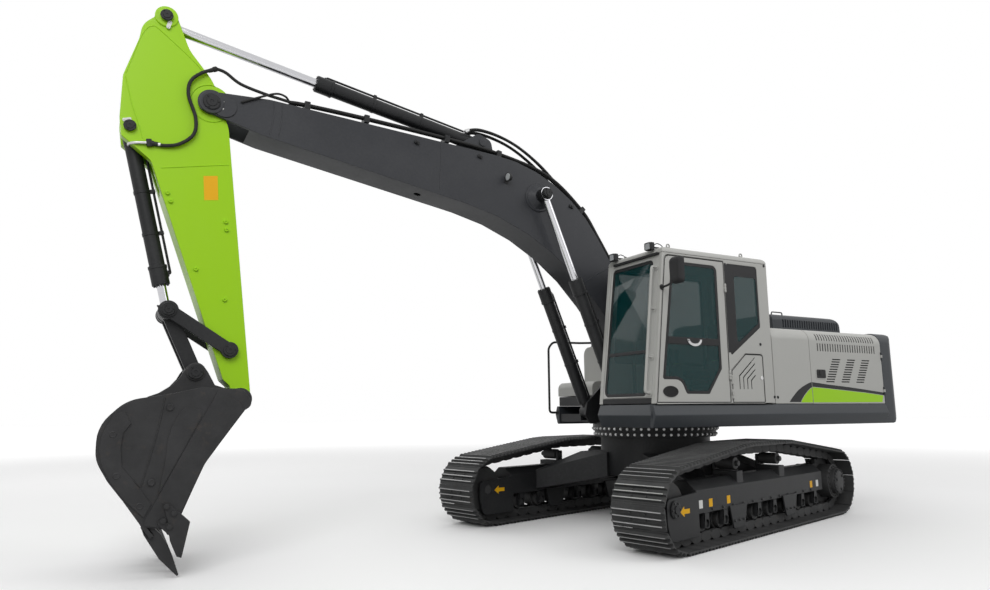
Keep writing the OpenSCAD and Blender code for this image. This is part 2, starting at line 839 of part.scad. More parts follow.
function right_window(g) = rounded([
  [cab_rear_x + 130 + g, sill_z + 420 + g, 60], [front_at(sill_z + 420) - 130 - g, sill_z + 420 + g, 60],
  [front_at(door_top) - 130 - g, door_top - 20 - g, 60], [cab_rear_x + 130 + g, door_top - 20 - g, 60]
]);
module cab_right() {
  color([0.74, 0.73, 0.71])
    upper()
      plate(wall_t, cab_y0 + wall_t / 2)
        difference() {
          polygon(side_outline);
          polygon(right_window(0));
        }
}
cab_mid = (cab_y0 + cab_y1) / 2;
inner_w = cab_w - 2 * wall_t - 2 * pin_gap;
module front_pane(w, t, low, high, back) {
  plate(w, cab_mid)
    polygon([
      [front_at(low) - back - t, low], [front_at(low) - back, low],
      [front_at(high) - back, high], [front_at(high) - back - t, high]
    ]);
}
// Windscreen between a slim right pillar and the broad left pillar
function windscreen(g) = rounded([
  [cab_y0 + 78 + g, cab_low + 80 + g, 80], [cab_y1 - 148 - g, cab_low + 80 + g, 60],
  [cab_y1 - 148 - g, roof_low - 62 - g, 60], [cab_y0 + 100 + g, roof_low - 62 - g, 60]
]);
function rear_window(g) = rounded([
  [cab_y0 + 130 + g, sill_z + 760 + g, 60], [cab_y1 - 130 - g, sill_z + 760 + g, 60],
  [cab_y1 - 130 - g, door_top - 20 - g, 60], [cab_y0 + 130 + g, door_top - 20 - g, 60]
]);
module across_cab(l) rotate([90, 0, 90]) linear_extrude(l) children();
module cab_front() {
  color([0.74, 0.73, 0.71])
    upper()
      difference() {
        front_pane(inner_w, wall_t, sill_z, roof_low - pin_gap, 0);
        across_cab(2 * cab_front_x) polygon(windscreen(0));
      }
}
module cab_rear() {
  color([0.74, 0.73, 0.71])
    upper()
      translate([cab_rear_x, 0, 0])
        across_cab(wall_t)
          difference() {
            translate([cab_mid - inner_w / 2, sill_z]) square([inner_w, roof_low - sill_z - pin_gap]);
            polygon(rear_window(0));
          }
}
eye_x = [cab_rear_x + 300, cab_front_x - 380];
eye_y = [cab_y0 + 110, cab_y1 - 110];
eye_r = 14;
module lifting_eye() {
  cylinder(r = 18, h = 16);
  translate([0, 0, 34])
    rotate([90, 0, 0])
      difference() {
        cylinder(r = 28, h = 16, center = true);
        cylinder(r = eye_r, h = 20, center = true);
      }
}
module cab_roof() {
  color([0.74, 0.73, 0.71])
    upper() {
      intersection() {
        plate(cab_w, cab_mid)
          polygon(rounded([
            [cab_rear_x, roof_low + pin_gap], [front_at(roof_low), roof_low + pin_gap],
            [front_at(cab_top), cab_top, 60], [cab_rear_x, cab_top, 60]
          ]));
        translate([-2 * cab_l, 0, 0])
          across_cab(4 * cab_l)
            polygon(rounded([
              [cab_y0, roof_low - 10], [cab_y1, roof_low - 10], [cab_y1, cab_top, 65],
              [cab_y0, cab_top, 65]
            ]));
      }
      for (x = eye_x, y = eye_y) translate([x, y, cab_top - 1]) lifting_eye();
    }
}
glass_t = 8;
module cab_glass() {
  color([0.35, 0.55, 0.52, 0.4])
    upper() {
      intersection() {
        front_pane(inner_w - 2, glass_t, sill_z + 5, roof_low - 5, 14);
        across_cab(2 * cab_front_x) polygon(windscreen(pin_gap));
      }
      plate(glass_t, cab_y0 + 20) polygon(right_window(pin_gap));
      plate(glass_t, cab_y1 - 14) polygon(quarter_window(pin_gap));
      translate([cab_rear_x + 16, 0, 0]) across_cab(glass_t) polygon(rear_window(pin_gap));
    }
}
module cab_door() {
  color([0.74, 0.73, 0.71])
    upper() {
      difference() {
        plate(wall_t - 10, cab_y1 - wall_t / 2 + 3)
          difference() {
            polygon(door_outline(0));
            polygon(door_window(0));
          }
        for (z = door_hinge_z) translate([door_hinge.x, door_hinge.y, z]) frame_knuckles(1);
      }
      for (z = door_hinge_z) translate([door_hinge.x, door_hinge.y, z]) knuckle(1);
    }
}
module door_glass() {
  color([0.3, 0.5, 0.48, 0.4])
    upper()
      plate(glass_t, cab_y1 - 12) polygon(door_window(pin_gap));
}
module side_hatch() {
  color([0.74, 0.73, 0.71])
    upper() {
      difference() {
        plate(30, cab_y1 - 18)
          difference() {
            polygon(hatch_outline(0));
            for (i = [0:3]) slit(i);
          }
        for (z = hatch_hinge_z) translate([hatch_hinge.x, hatch_hinge.y, z]) frame_knuckles(1);
      }
      for (z = hatch_hinge_z) translate([hatch_hinge.x, hatch_hinge.y, z]) knuckle(1);
    }
}
seat_x = -60;
module operator_seat() {
  color([0.1, 0.1, 0.1])
    upper()
      translate([seat_x, cab_mid, sill_z]) {
        cylinder(r = 150, h = 220);
        block([-250, -250, 215], [260, 250, 340]);
        plate(460)
          polygon(rounded([[-250, 300], [-130, 300], [-230, 980, 40], [-330, 980, 40]]));
        plate(280)
          polygon(rounded([[-240, 960], [-315, 960], [-340, 1150, 40], [-250, 1150, 40]]));
      }
}
module control_consoles() {
  color([0.16, 0.17, 0.17])
    upper() {
      for (s = [-1, 1])
        translate([seat_x, cab_mid + s * (inner_w / 2 - 110), sill_z]) {
          block([-200, -55, 0], [260, 55, 430]);
          translate([200, 0, 428]) cylinder(r = 22, h = 150);
          translate([200, 0, 560]) sphere(r = 38);
        }
      // travel pedals and their levers
      for (s = [-1, 1])
        translate([620, cab_mid + s * 90, sill_z]) {
          block([-90, -55, 0], [90, 55, 50]);
          translate([0, 0, 48]) cylinder(r = 14, h = 520);
        }
      // monitor post
      translate([760, cab_y0 + 130, sill_z]) {
        block([-40, -50, 0], [40, 50, 700]);
        block([-60, -60, 698], [-20, 150, 880]);
      }
    }
}

// Handrails on the cab's front pillar and on the right tank
rail_r = 16;
rail_off = 70;
// A point at the distance d before the cab's front, at the height z
function before_front(d, z) = [front_at(z), cab_y1 - 82, z] + d * front_out;
module handrails() {
  low = cab_low + 110;
  high = cab_top - 235;
  side = -upper_w / 2 + 30;
  out = tool_front + 150;
  color([0.75, 0.75, 0.75])
    upper() {
      tube([
        before_front(pin_gap, low), before_front(rail_off - 20, low), before_front(rail_off, low + 20),
        before_front(rail_off, high - 20), before_front(rail_off - 20, high), before_front(pin_gap, high)
      ], rail_r);
      tube([
        [tool_front + 20 + pin_gap, side, deck_z - 90], [out - 30, side, deck_z - 90],
        [out, side, deck_z - 60],
        [out, side, deck_z + 800], [out - 80, side, deck_z + 915],
        [tank_front + 100, side + 30, deck_z + 925],
        [tank_front - 40, side + 130, deck_z + 925], [tank_front - 60, side + 140, deck_z + 905],
        [tank_front - 60, side + 140, house_z - 60 + pin_gap]
      ], rail_r);
    }
}
mirror_z = cab_top - 470;
module side_mirror() {
  x = front_at(mirror_z) - 14;
  color([0.1, 0.1, 0.1])
    upper() {
      // the arm reaches outside the swing of the cab door
      tube([
        [x, cab_y1 + pin_gap, mirror_z], [x, cab_y1 + 60, mirror_z], [x + 20, cab_y1 + 140, mirror_z + 4],
        [x + 75, cab_y1 + 300, mirror_z + 25], [x + 85, cab_y1 + 330, mirror_z + 60]
      ], 12);
      translate([x + 90, cab_y1 + 332, mirror_z - 15]) block([-45, -110, 0], [35, 110, 285]);
    }
}
module work_lamps() {
  color([0.15, 0.15, 0.15])
    upper()
      for (y = [cab_y0 + 150, cab_y1 - 175])
        translate([front_at(cab_top), y, cab_top]) {
          block([-130, -30, pin_gap], [-80, 30, 14]);
          block([-100, -12, 6], [15, 12, 22]);
          block([5, -52, -28], [72, 52, 64]);
        }
}

// A row of three hinge knuckles round an upright pin; the middle one rides with the door
knuckle_h = 34;
knuckle_r = 13;
module knuckle(i, grow = 0)
  translate([0, 0, (i - 1) * (knuckle_h + pin_gap) - grow])
    cylinder(r = knuckle_r + 2 * grow, h = knuckle_h + 2 * grow);
module frame_knuckles(grow = 0) {
  knuckle(0, grow);
  knuckle(2, grow);
}
hinge_out = 6;
door_hinge = [door_rear - door_gap / 2, cab_y1 + hinge_out];
door_hinge_z = [cab_low + 300, door_top - 330];
hatch_hinge = [hatch_front + door_gap / 2, cab_y1 + hinge_out];
hatch_hinge_z = [cab_low + 90, cab_low + 250];
service_hinge = [house_rear + door_gap / 2, upper_w / 2 - 25 + hinge_out];
service_hinge_z = [deck_z + 150, house_z - 320];
// Hinges of the lids lie across the machine
hood_hinge = [hood_rear - 8, house_z + 9];
hood_hinge_y = [-600, 600];
lid_hinge = [tank_front + 4, box_top + 115];
lid_hinge_y = [-upper_w / 2 + 190, -tank_in - 150];
module across(p, y) translate([p.x, y, p.y]) rotate([90, 0, 0]) children();

// Doors of the engine house
module service_door(side) {
  color([0.72, 0.71, 0.69])
    upper()
      mirror([0, side < 0 ? 1 : 0, 0]) {
        difference() {
          side_wall(house_rear + 6, panel_split - door_gap, 1, shoulder_in);
          // a row of upright slots on the shoulder and one below it
          for (i = [0:23])
            translate([house_rear + 132 + i * 48, upper_w / 2, 0]) {
              block([0, -135, house_z - 138], [20, 50, house_z - 56]);
              block([-6, -90, house_z - 272], [14, 50, house_z - 175]);
            }
          // three leaning columns of level slots
          for (column = [0:2], i = [0:9])
            translate([house_rear + 395 + 288 * column - 16 * i, upper_w / 2, deck_z + 265 + 31 * i])
              block([0, -90, 0], [156, 50, 14]);
          for (z = service_hinge_z) translate([service_hinge.x, service_hinge.y, z]) frame_knuckles(1);
        }
        for (z = service_hinge_z) translate([service_hinge.x, service_hinge.y, z]) knuckle(1);
      }
}
module left_service_door() service_door(1);
module right_service_door() service_door(-1);

module engine_hood() {
  t = 25;
  color([0.22, 0.23, 0.25])
    upper() {
      difference() {
        intersection() {
          plate(2 * hood_half)
            polygon(rounded([[hood_rear, house_z + 6], [hood_front, house_z + 6],
              [hood_front, hood_z, 60], [hood_rear + 15, hood_z, 140]]));
          translate([hood_rear - 10, 0, 0])
            rotate([90, 0, 90])
              linear_extrude(hood_front - hood_rear + 20)
                polygon(rounded([[-hood_half, house_z], [hood_half, house_z],
                  [hood_half, hood_z, 90], [-hood_half, hood_z, 90]]));
        }
        block([hood_rear + t, -hood_half + t, house_z - 10], [hood_front - t, hood_half - t, hood_z - t]);
        for (i = [0:23])
          translate([hood_rear + 60 + i * 46, 0, house_z + 75])
            block([0, -upper_w, 0], [20, upper_w, 105]);
        for (y = hood_hinge_y) across(hood_hinge, y) frame_knuckles(1);
      }
      for (y = hood_hinge_y) across(hood_hinge, y) knuckle(1);
    }
}

// Boom: an arched box with a forked tip, cylinder bosses and lugs
boom_wall = 16;
fork_gap = arm_w + 12;
fork_depth = 420;
boom_corners = [
  [-60, -150], [150, -150, 60], [2018, 778, 3000], [5350, -30, 300], [boom_len + 20, -112],
  [boom_len + 60, 100], [5440, 358, 300],
  [2110, 1596, 1860], [-60, 165]
];
tip_r = 116;
boss_y = 292;
module boom() {
  color([0.25, 0.26, 0.28])
    upper()
      placed(boom_foot, boom_rise)
        difference() {
          union() {
            difference() {
              plate(boom_w) polygon(rounded(boom_corners));
              plate(boom_w - 2 * boom_wall)
                intersection() {
                  polygon(rounded(inset(boom_corners, boom_wall)));
                  translate([250, -400]) square([boom_len - fork_depth - 330, 3000]);
                }
              // slot for the arm
              translate([boom_len - fork_depth, -fork_gap / 2, -900]) cube([900, fork_gap, 1800]);
            }
            bar([0, 0], 160, 2 * web_y - web_t - 16);
            bars([boom_len, 0], tip_r, 50, fork_gap / 2 + 25);
            bar([boom_len, 0], pin_r - pin_gap, fork_gap + 90);
            // bosses for the boom cylinders' rods
            for (s = [-1, 1])
              translate([boom_rod_pin.x, s * boom_w / 2, boom_rod_pin.y])
                rotate([-s * 90, 0, 0]) cylinder(r1 = 165, r2 = 85, h = boss_y - boom_w / 2);
            // lugs for the arm cylinder
            plates(30, 105)
              polygon(rounded([
                [arm_base_pin.x - 330, arm_base_pin.y - 260],
                [arm_base_pin.x + 330, arm_base_pin.y - 300],
                [arm_base_pin.x + 90, arm_base_pin.y + 85, 85],
                [arm_base_pin.x - 90, arm_base_pin.y + 85, 85]
              ]));
            bar(arm_base_pin, 45, 270);
          }
          bar([0, 0], pin_r, 1000);
          // drain hole in the lower plate
          translate([3600, 0, 0]) cylinder(r = 40, h = 800);
        }
}
boom_pipe_points = [
  [900, 835], [1300, 1100], [1650, 1300], [2250, 1440], [2950, 1320], [3600, 1110], [4500, 775],
  [5100, 535], [boom_len - 620, 455]
];
module boom_pipes() {
  color([0.12, 0.12, 0.12])
    upper()
      placed(boom_foot, boom_rise)
        for (y = [-175, 175]) {
          tube(smooth([for (p = boom_pipe_points) [p.x, y, p.y + 10]], 3), 18);
          difference() {
            for (i = [2, 4, 5, 6, 7])
              plate(60, y) translate(boom_pipe_points[i]) square([70, 130], center = true);
            plate(2 * boom_w) polygon(rounded(inset(boom_corners, -pin_gap)));
          }
        }
}

// Arm: a tapered box with ears for both cylinders
arm_wall = 18;
arm_corners = [
  [-960, 300], [-873, 236, 80], [-540, 150, 300], [-235, -40, 400], [246, -143, 300],
  [arm_len - 40, -100], [arm_len + 40, 60],
  [arm_len - 140, 80, 30], [arm_len - 205, 134, 40], [588, 583, 120], [350, 815], [170, 815, 80],
  [-240, 757, 150], [-620, 590, 150], [-770, 550, 200]
];
module arm() {
  color([0.58, 0.78, 0.09])
    upper()
      placed(boom_tip, arm_tilt)
        difference() {
          union() {
            difference() {
              plate(arm_w) polygon(rounded(arm_corners));
              // hollow of the lower box
              plate(arm_w - 2 * arm_wall)
                polygon([[420, -115], [arm_len - 330, -82], [arm_len - 330, 140], [700, 480],
                  [420, 380]]);
              // gap between the ears of the arm cylinder
              translate([-1300, -75, -500]) cube([870, 150, 1500]);
              // gap between the ears of the bucket cylinder
              translate([-60, -80, 520]) cube([1000, 160, 900]);
              // hand hole
              translate([1400, 0, -200]) cylinder(r = 40, h = 120);
            }
            bar([0, 0], 190, arm_w + 4);
            bar(bucket_pin, 108, arm_w + 6);
            bar(lever_pin, 80, arm_w + 10);
            bars(arm_rod_pin, 105, (arm_w - 150) / 2 + 14, (arm_w + 150) / 4 + 7);
            bars(arm_rod_pin, 48, 36, arm_w / 2 + 18);
            bar(bucket_base_pin, 44, arm_w + 40);
          }
          bar([0, 0], pin_r, 1000);
          bar(bucket_pin, pin_r - 10, 1000);
          bar(lever_pin, pin_r - 15, 1000);
        }
}
hose_points = [
  [-330, 215, -20], [-300, 215, 60], [-210, 215, 170], [-60, 215, 205], [160, 215, 160],
  [330, 215, 190], [430, 210, 320], [450, 203, 450], [430, 196.5, 560]
];
module arm_hose() {
  color([0.08, 0.08, 0.08])
    upper()
      placed(boom_tip, arm_tilt)
        tube(smooth(hose_points, 3), 17);
}

// Bucket linkage
lever_y = 214;
lever_t = 36;
module strap(a, b, ra, rb, w) {
  d = unit(b - a);
  n = [-d.y, d.x];
  polygon([a + n * w / 2, a - n * w / 2, b - n * w / 2, b + n * w / 2]);
  translate(a) circle(r = ra);
  translate(b) circle(r = rb);
}
module bucket_levers() {
  color([0.16, 0.16, 0.17])
    upper()
      placed(boom_tip, arm_tilt) {
        plates(lever_t, lever_y) strap(lever_pin, lever_end, 78, 88, 120);
        bar(lever_pin, pin_r - 15 - pin_gap, 2 * lever_y + lever_t + 30);
        bars(lever_end, pin_r - 15 - pin_gap, lever_y + 38 - 68, (lever_y + 38 + 68) / 2);
        bars(lever_end, 70, 20, lever_y + lever_t / 2 + 10);
      }
}
link_y = 118;
module bucket_link() {
  color([0.16, 0.16, 0.17])
    upper()
      placed(boom_tip, arm_tilt)
        difference() {
          union() {
            plates(50, link_y) strap(lever_end, link_pin, 85, 70, 130);
            bars(lever_end, 85, 100, link_y);
            bar(link_pin, 85, 350);
            plate(200)
              polygon([for (k = [[0.45, -30], [0.75, -30], [0.75, 30], [0.45, 30]])
                lever_end + (link_pin - lever_end) * k[0] + [-unit(link_pin - lever_end).y,
                  unit(link_pin - lever_end).x] * k[1]]);
          }
          bar(lever_end, pin_r - 15, 1000);
        }
}

// Bucket, along and in front of the arm's pin line from the bucket's pin
shell_t = 26;
side_corners = [
  [-80, 20, 40], [60, -60, 60], [100, 25], [331, 237], [508, 396, 300], [671, 490], [896, 616],
  [1000, 720],
  [930, 920], [694, 1041], [523, 1137, 200], [330, 1215, 300], [60, 1180, 300], [-120, 950, 300],
  [-125, 640, 200],
  [-150, 360, 100]
];
hollow_corners = [
  [680, 1012], [512, 1106, 180], [325, 1182, 280], [78, 1150, 280], [-90, 940, 280],
  [-88, 640, 170], [-100, 340, 60],
  [170, 150], [400, 60], [1300, 500], [1200, 750]
];
// Lip of the bucket, along its cutting edge plate from lip_start and into the bucket
lip_start = [930, 920];
lip_along = unit([475, -245]);
lip_in = [lip_along.y, -lip_along.x];
lip_l = 120;
lip_t = 32;
function on_lip(p) = lip_start + p.x * lip_along + p.y * lip_in;
ear_y = 214;
ear_t = 44;
module in_bucket() placed(on_arm(bucket_pin), arm_tilt) children();
module bucket() {
  color([0.17, 0.17, 0.17])
    upper()
      in_bucket() {
        difference() {
          union() {
            difference() {
              plate(bucket_w) polygon(rounded(side_corners));
              plate(bucket_w - 2 * shell_t) polygon(rounded(concat([on_lip([0, lip_t])],
                hollow_corners)));
            }
            plate(bucket_w)
              polygon([for (q = [[-60, 4], [0, -3], [lip_l, -3], [lip_l, lip_t],
                [-60, lip_t - 8]]) on_lip(q)]);
            plates(ear_t, ear_y) {
              circle(r = 104);
              translate(link_pin - bucket_pin) circle(r = 88);
              polygon([
                [-98, -20], [95, 30], [70, 330], [-90, 800], [-132, 780], [-155, 679], [-208, 571],
                [-269, 504],
                [-321, 468], [-372, 423], [-345, 292], [-290, 262], [-162, 213], [-118, 120]
              ]);
            }
            bars([0, 0], 95, 18, ear_y + ear_t / 2 + 9);
            bars(link_pin - bucket_pin, 80, 18, ear_y + ear_t / 2 + 9);
          }
          // room for the arm's end between the ears
          rotate([90, 0, 0]) cylinder(r = 178, h = 2 * (ear_y - pin_gap) - ear_t, center = true);
        }
        bar([0, 0], pin_r - 10 - pin_gap, 2 * ear_y + ear_t + 30);
      }
}
// One adapter with its tooth, clasping the cutting edge
tooth_outline = [
  [10, -8], [70, -24], [310, -36], [515, -4], [512, 12], [350, 58], [250, 78], [140, 80], [20, 60],
  [20, lip_t + pin_gap],
  [lip_l + pin_gap, lip_t + pin_gap], [lip_l + pin_gap, -3 - pin_gap], [10, -3 - pin_gap]
];
module bucket_teeth() {
  color([0.15, 0.15, 0.15])
    upper()
      in_bucket() {
        for (i = [0:tooth_count - 1])
          plate(90, (i / (tooth_count - 1) - 0.5) * (bucket_w - 2 * shell_t - 100))
            polygon([for (q = tooth_outline) on_lip(q)]);
      }
}

// Side cutters bolted on the side plates beside the lip
cutter_t = 30;
module side_cutters() {
  color([0.15, 0.15, 0.15])
    upper()
      in_bucket()
        plates(cutter_t, bucket_w / 2 + cutter_t / 2 + pin_gap)
          polygon([
            [799, 685], [962, 553], [1240, 644], [1221, 681], [1090, 719], [1037, 723], [938, 801],
            [898, 797],
            [934, 725], [764, 749]
          ]);
}

head_l = 190;
boom_rod_end = on_boom(boom_rod_pin);
arm_base = on_boom(arm_base_pin);
arm_rod_end = on_arm(arm_rod_pin);
bucket_base = on_arm(bucket_base_pin);
bucket_rod_end = on_arm(lever_end);

// Barrel with a true hollow for its rod, base eye on pin a
module cylinder_barrel(a, b, d, rod_d, barrel_l, eye_w, eye_r, bore_r) {
  placed(a, heading(b - a))
    difference() {
      union() {
        rotate([0, 90, 0]) cylinder(d = eye_w - 6, h = eye_r + 60);
        translate([eye_r + 45, 0, 0]) rotate([0, 90, 0]) cylinder(d = d, h = barrel_l - eye_r - 65);
        translate([barrel_l - head_l, 0, 0]) rotate([0, 90, 0]) cylinder(d = d + 20, h = head_l);
        bar([0, 0], eye_r, eye_w);
      }
      bar([0, 0], bore_r, 2 * d);
      translate([eye_r + 30, 0, 0]) rotate([0, 90, 0]) cylinder(d = rod_d + 2 * pin_gap, h = barrel_l);
    }
}
// Rod with its eye on pin b, reaching down the barrel
module cylinder_rod(a, b, rod_d, barrel_l, eye_r, eye_w) {
  l = norm(b - a);
  placed(a, heading(b - a)) {
    translate([l - eye_r - 40 - (barrel_l - eye_r - 80), 0, 0])
      rotate([0, 90, 0]) cylinder(d = rod_d, h = barrel_l - 80);
    bar([l, 0], eye_r, eye_w);
  }
}

// Each barrel ends short of the pin at the rod's eye by the rod's length outside
boom_barrel_l = norm(boom_rod_end - boom_cyl_foot) - 1089;
arm_barrel_l = norm(arm_rod_end - arm_base) - 1537;
bucket_barrel_l = norm(bucket_rod_end - bucket_base) - 267;
module boom_barrels() {
  color([0.16, 0.16, 0.17])
    upper()
      for (s = [-1, 1])
        translate([0, s * boom_cyl_y, 0])
          cylinder_barrel(boom_cyl_foot, boom_rod_end, boom_barrel_d, boom_rod_d, boom_barrel_l,
            100, 85, pin_r - 15 + pin_gap);
}
module boom_rods() {
  color([0.8, 0.8, 0.82])
    upper()
      for (s = [-1, 1])
        translate([0, s * boom_cyl_y, 0]) {
          cylinder_rod(boom_cyl_foot, boom_rod_end, boom_rod_d, boom_barrel_l, 80, 116);
          bar(boom_rod_end, 45, 30, s * 70);
        }
}
module arm_barrel() {
  color([0.16, 0.16, 0.17])
    upper()
      cylinder_barrel(arm_base, arm_rod_end, arm_barrel_d, arm_rod_d, arm_barrel_l, 170, 85,
        45 + pin_gap);
}
module arm_rod() {
  color([0.8, 0.8, 0.82])
    upper()
      cylinder_rod(arm_base, arm_rod_end, arm_rod_d, arm_barrel_l, 85, 110);
}
module bucket_barrel() {
  color([0.16, 0.16, 0.17])
    upper()
      cylinder_barrel(bucket_base, bucket_rod_end, bucket_barrel_d, bucket_rod_d, bucket_barrel_l,
        150, 78, 44 + pin_gap);
}
module bucket_rod() {
  color([0.8, 0.8, 0.82])
    upper()
      cylinder_rod(bucket_base, bucket_rod_end, bucket_rod_d, bucket_barrel_l, 80, 110);
}

car_body();
track_frame_left();
track_frame_right();
track_left();
track_right();
link_chain_left();
link_chain_right();
idlers();
sprockets();
track_rollers();
carrier_rollers();
slew_ring();
swing_frame();
side_skirts();
counterweight();
engine_block();
house_panels();
right_tanks();
tool_box();
cab_floor();
cab_front();
cab_left();
cab_right();
cab_rear();
cab_roof();
cab_glass();
operator_seat();
control_consoles();
handrails();
side_mirror();
work_lamps();
cab_door();
door_glass();
side_hatch();
left_service_door();
right_service_door();
engine_hood();
tool_box_lid();
boom();
boom_pipes();
arm();
arm_hose();
bucket_levers();
bucket_link();
bucket();
bucket_teeth();
side_cutters();
boom_barrels();
boom_rods();
arm_barrel();
arm_rod();
bucket_barrel();
bucket_rod();
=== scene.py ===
import json
import math
import bmesh
import bpy
from mathutils import Matrix, Vector

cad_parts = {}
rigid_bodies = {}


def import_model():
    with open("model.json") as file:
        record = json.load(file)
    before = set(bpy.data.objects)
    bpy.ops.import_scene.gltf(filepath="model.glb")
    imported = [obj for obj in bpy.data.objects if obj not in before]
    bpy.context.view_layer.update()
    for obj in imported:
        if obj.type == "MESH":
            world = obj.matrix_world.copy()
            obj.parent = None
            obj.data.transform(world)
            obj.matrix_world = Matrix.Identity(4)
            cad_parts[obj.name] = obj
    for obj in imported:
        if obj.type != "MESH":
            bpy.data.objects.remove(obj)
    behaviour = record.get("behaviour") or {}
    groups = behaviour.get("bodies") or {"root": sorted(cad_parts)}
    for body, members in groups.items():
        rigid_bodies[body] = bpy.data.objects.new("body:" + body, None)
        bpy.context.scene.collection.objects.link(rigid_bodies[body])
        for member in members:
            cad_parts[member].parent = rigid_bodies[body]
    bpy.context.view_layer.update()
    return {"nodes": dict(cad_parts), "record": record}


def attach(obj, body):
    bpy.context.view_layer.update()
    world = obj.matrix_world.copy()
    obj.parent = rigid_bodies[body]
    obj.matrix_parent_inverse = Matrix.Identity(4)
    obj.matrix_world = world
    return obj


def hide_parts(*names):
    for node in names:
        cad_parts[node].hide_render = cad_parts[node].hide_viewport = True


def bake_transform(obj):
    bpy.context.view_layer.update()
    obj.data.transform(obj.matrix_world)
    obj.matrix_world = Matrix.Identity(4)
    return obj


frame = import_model()
nodes = frame["nodes"]
swingX = -1.653  # the swing axis in the row frame
sides = (1, -1)  # left and right
print("frame loaded", len(nodes), "nodes")


def newObject(name, data):
    obj = bpy.data.objects.new(name, data)
    bpy.context.scene.collection.objects.link(obj)
    return obj


# camera at the photograph's place, solved in the upper structure's frame; focal and width are in pixels
cameraView = {
    "place": (6.2221, 7.3165, 1.3662), "yaw": 242.0114, "pitch": 9.256, "roll": -0.3931,
    "focal": 708.19, "width": 990, "sensor": 36, "reach": 200,
}


def makeCamera(v):
    yaw, pitch, roll = (math.radians(v[k]) for k in ("yaw", "pitch", "roll"))
    right = Vector((math.sin(yaw), -math.cos(yaw), 0))
    level = Vector((math.cos(yaw), math.sin(yaw), 0))
    ahead = level * math.cos(pitch) + Vector((0, 0, math.sin(pitch)))
    up = right.cross(ahead)
    rolledRight = right * math.cos(roll) + up * math.sin(roll)
    rolledUp = up * math.cos(roll) - right * math.sin(roll)
    cam = bpy.data.cameras.new("camera")
    cam.sensor_fit = "HORIZONTAL"
    cam.sensor_width = v["sensor"]
    cam.lens = v["focal"] * v["sensor"] / v["width"]
    cam.clip_end = v["reach"]
    m = Matrix((rolledRight, rolledUp, -ahead)).transposed().to_4x4()
    m.translation = Vector(v["place"]) + Vector((swingX, 0, 0))
    obj = newObject("camera", cam)
    obj.matrix_world = m
    bpy.context.scene.camera = obj


makeCamera(cameraView)


# shader maths: a socket with operators, and one method for any other node
class Sock:
    def __init__(self, tree, socket):
        self.tree, self.socket = tree, socket

    def math(self, op, other, swap=False):
        a, b = (other, self) if swap else (self, other)
        return self.tree.node("ShaderNodeMath", {"operation": op}, {0: a, 1: b})[0]

    def __add__(self, o):
        return self.math("ADD", o)

    def __radd__(self, o):
        return self.math("ADD", o, True)

    def __sub__(self, o):
        return self.math("SUBTRACT", o)

    def __rsub__(self, o):
        return self.math("SUBTRACT", o, True)

    def __mul__(self, o):
        return self.math("MULTIPLY", o)

    def __rmul__(self, o):
        return self.math("MULTIPLY", o, True)

    def __truediv__(self, o):
        return self.math("DIVIDE", o)

    def __rtruediv__(self, o):
        return self.math("DIVIDE", o, True)


class Shader:
    def __init__(self, owner, outKind="ShaderNodeOutputMaterial"):
        self.owner = owner
        owner.use_nodes = True
        self.tree = owner.node_tree
        self.tree.nodes.clear()
        self.out = self.tree.nodes.new(outKind)

    def node(self, kind, settings=None, inputs=None):
        n = self.tree.nodes.new(kind)
        for k, v in (settings or {}).items():
            if k == "stops":
                ramp = n.color_ramp
                while len(ramp.elements) < len(v):
                    ramp.elements.new(0.5)
                for e, (p, c) in zip(ramp.elements, v):
                    e.position, e.color = p, (*c, 1)
            else:
                setattr(n, k, v)
        for k, v in (inputs or {}).items():
            s = n.inputs[k]
            if isinstance(v, Sock):
                self.tree.links.new(v.socket, s)
            else:
                s.default_value = (*v, 1) if s.type == "RGBA" else v
        return [Sock(self, o) for o in n.outputs]

    def source(self, kind, output):
        return Sock(self, self.tree.nodes.new(kind).outputs[output])

    def place(self):
        return self.source("ShaderNodeTexCoord", "Object")

    def noise(self, scale, detail, rough, where):
        sockets = {"Vector": where, "Scale": scale, "Detail": detail, "Roughness": rough}
        return self.node("ShaderNodeTexNoise", {}, sockets)[0]

    def ramp(self, value, stops):
        return self.node("ShaderNodeValToRGB", {"stops": stops}, {0: value})[0]

    def mix(self, factor, a, b):
        return self.node("ShaderNodeMix", {"data_type": "RGBA"}, {0: factor, 6: a, 7: b})[2]

    def bump(self, height, strength, distance):
        sockets = {"Height": height, "Strength": strength, "Distance": distance}
        return self.node("ShaderNodeBump", {}, sockets)[0]

    def surface(self, **inputs):
        sockets = {k.replace("_", " "): v for k, v in inputs.items()}
        return self.node("ShaderNodeBsdfPrincipled", {}, sockets)[0]

    def show(self, shader):
        self.tree.links.new(shader.socket, self.out.inputs[0])

    def finish(self, **inputs):
        self.show(self.surface(**inputs))
        return self.owner


def newShader(name):
    return Shader(bpy.data.materials.new(name))


def tone(colour, gain, lift=0.0):
    return tuple(min(1, c * gain + lift) for c in colour)


# painted plates: dust in soft clouds and a fine orange peel
paintView = {"cloud": 1.3, "fine": 38, "peel": 260, "peelHeight": 0.02, "dust": (0.8, 0.06), "shine": 0.25}


def paint(name, colour, rough, dust, coat):
    v = paintView
    s = newShader(name)
    p = s.place()
    cloud = s.noise(v["cloud"], 4, 0.6, p)
    fine = s.noise(v["fine"], 3, 0.6, p)
    mask = s.ramp(cloud * 0.7 + fine * 0.3, [(0.45, (0, 0, 0)), (0.75, (1, 1, 1))])
    return s.finish(
        Base_Color=s.mix(mask * dust, colour, tone(colour, *v["dust"])), Roughness=rough + mask * 0.15,
        Normal=s.bump(s.noise(v["peel"], 2, 0.5, p), v["peelHeight"], 0.002),
        Coat_Weight=coat, Coat_Roughness=0.15, Specular_IOR_Level=v["shine"],
    )


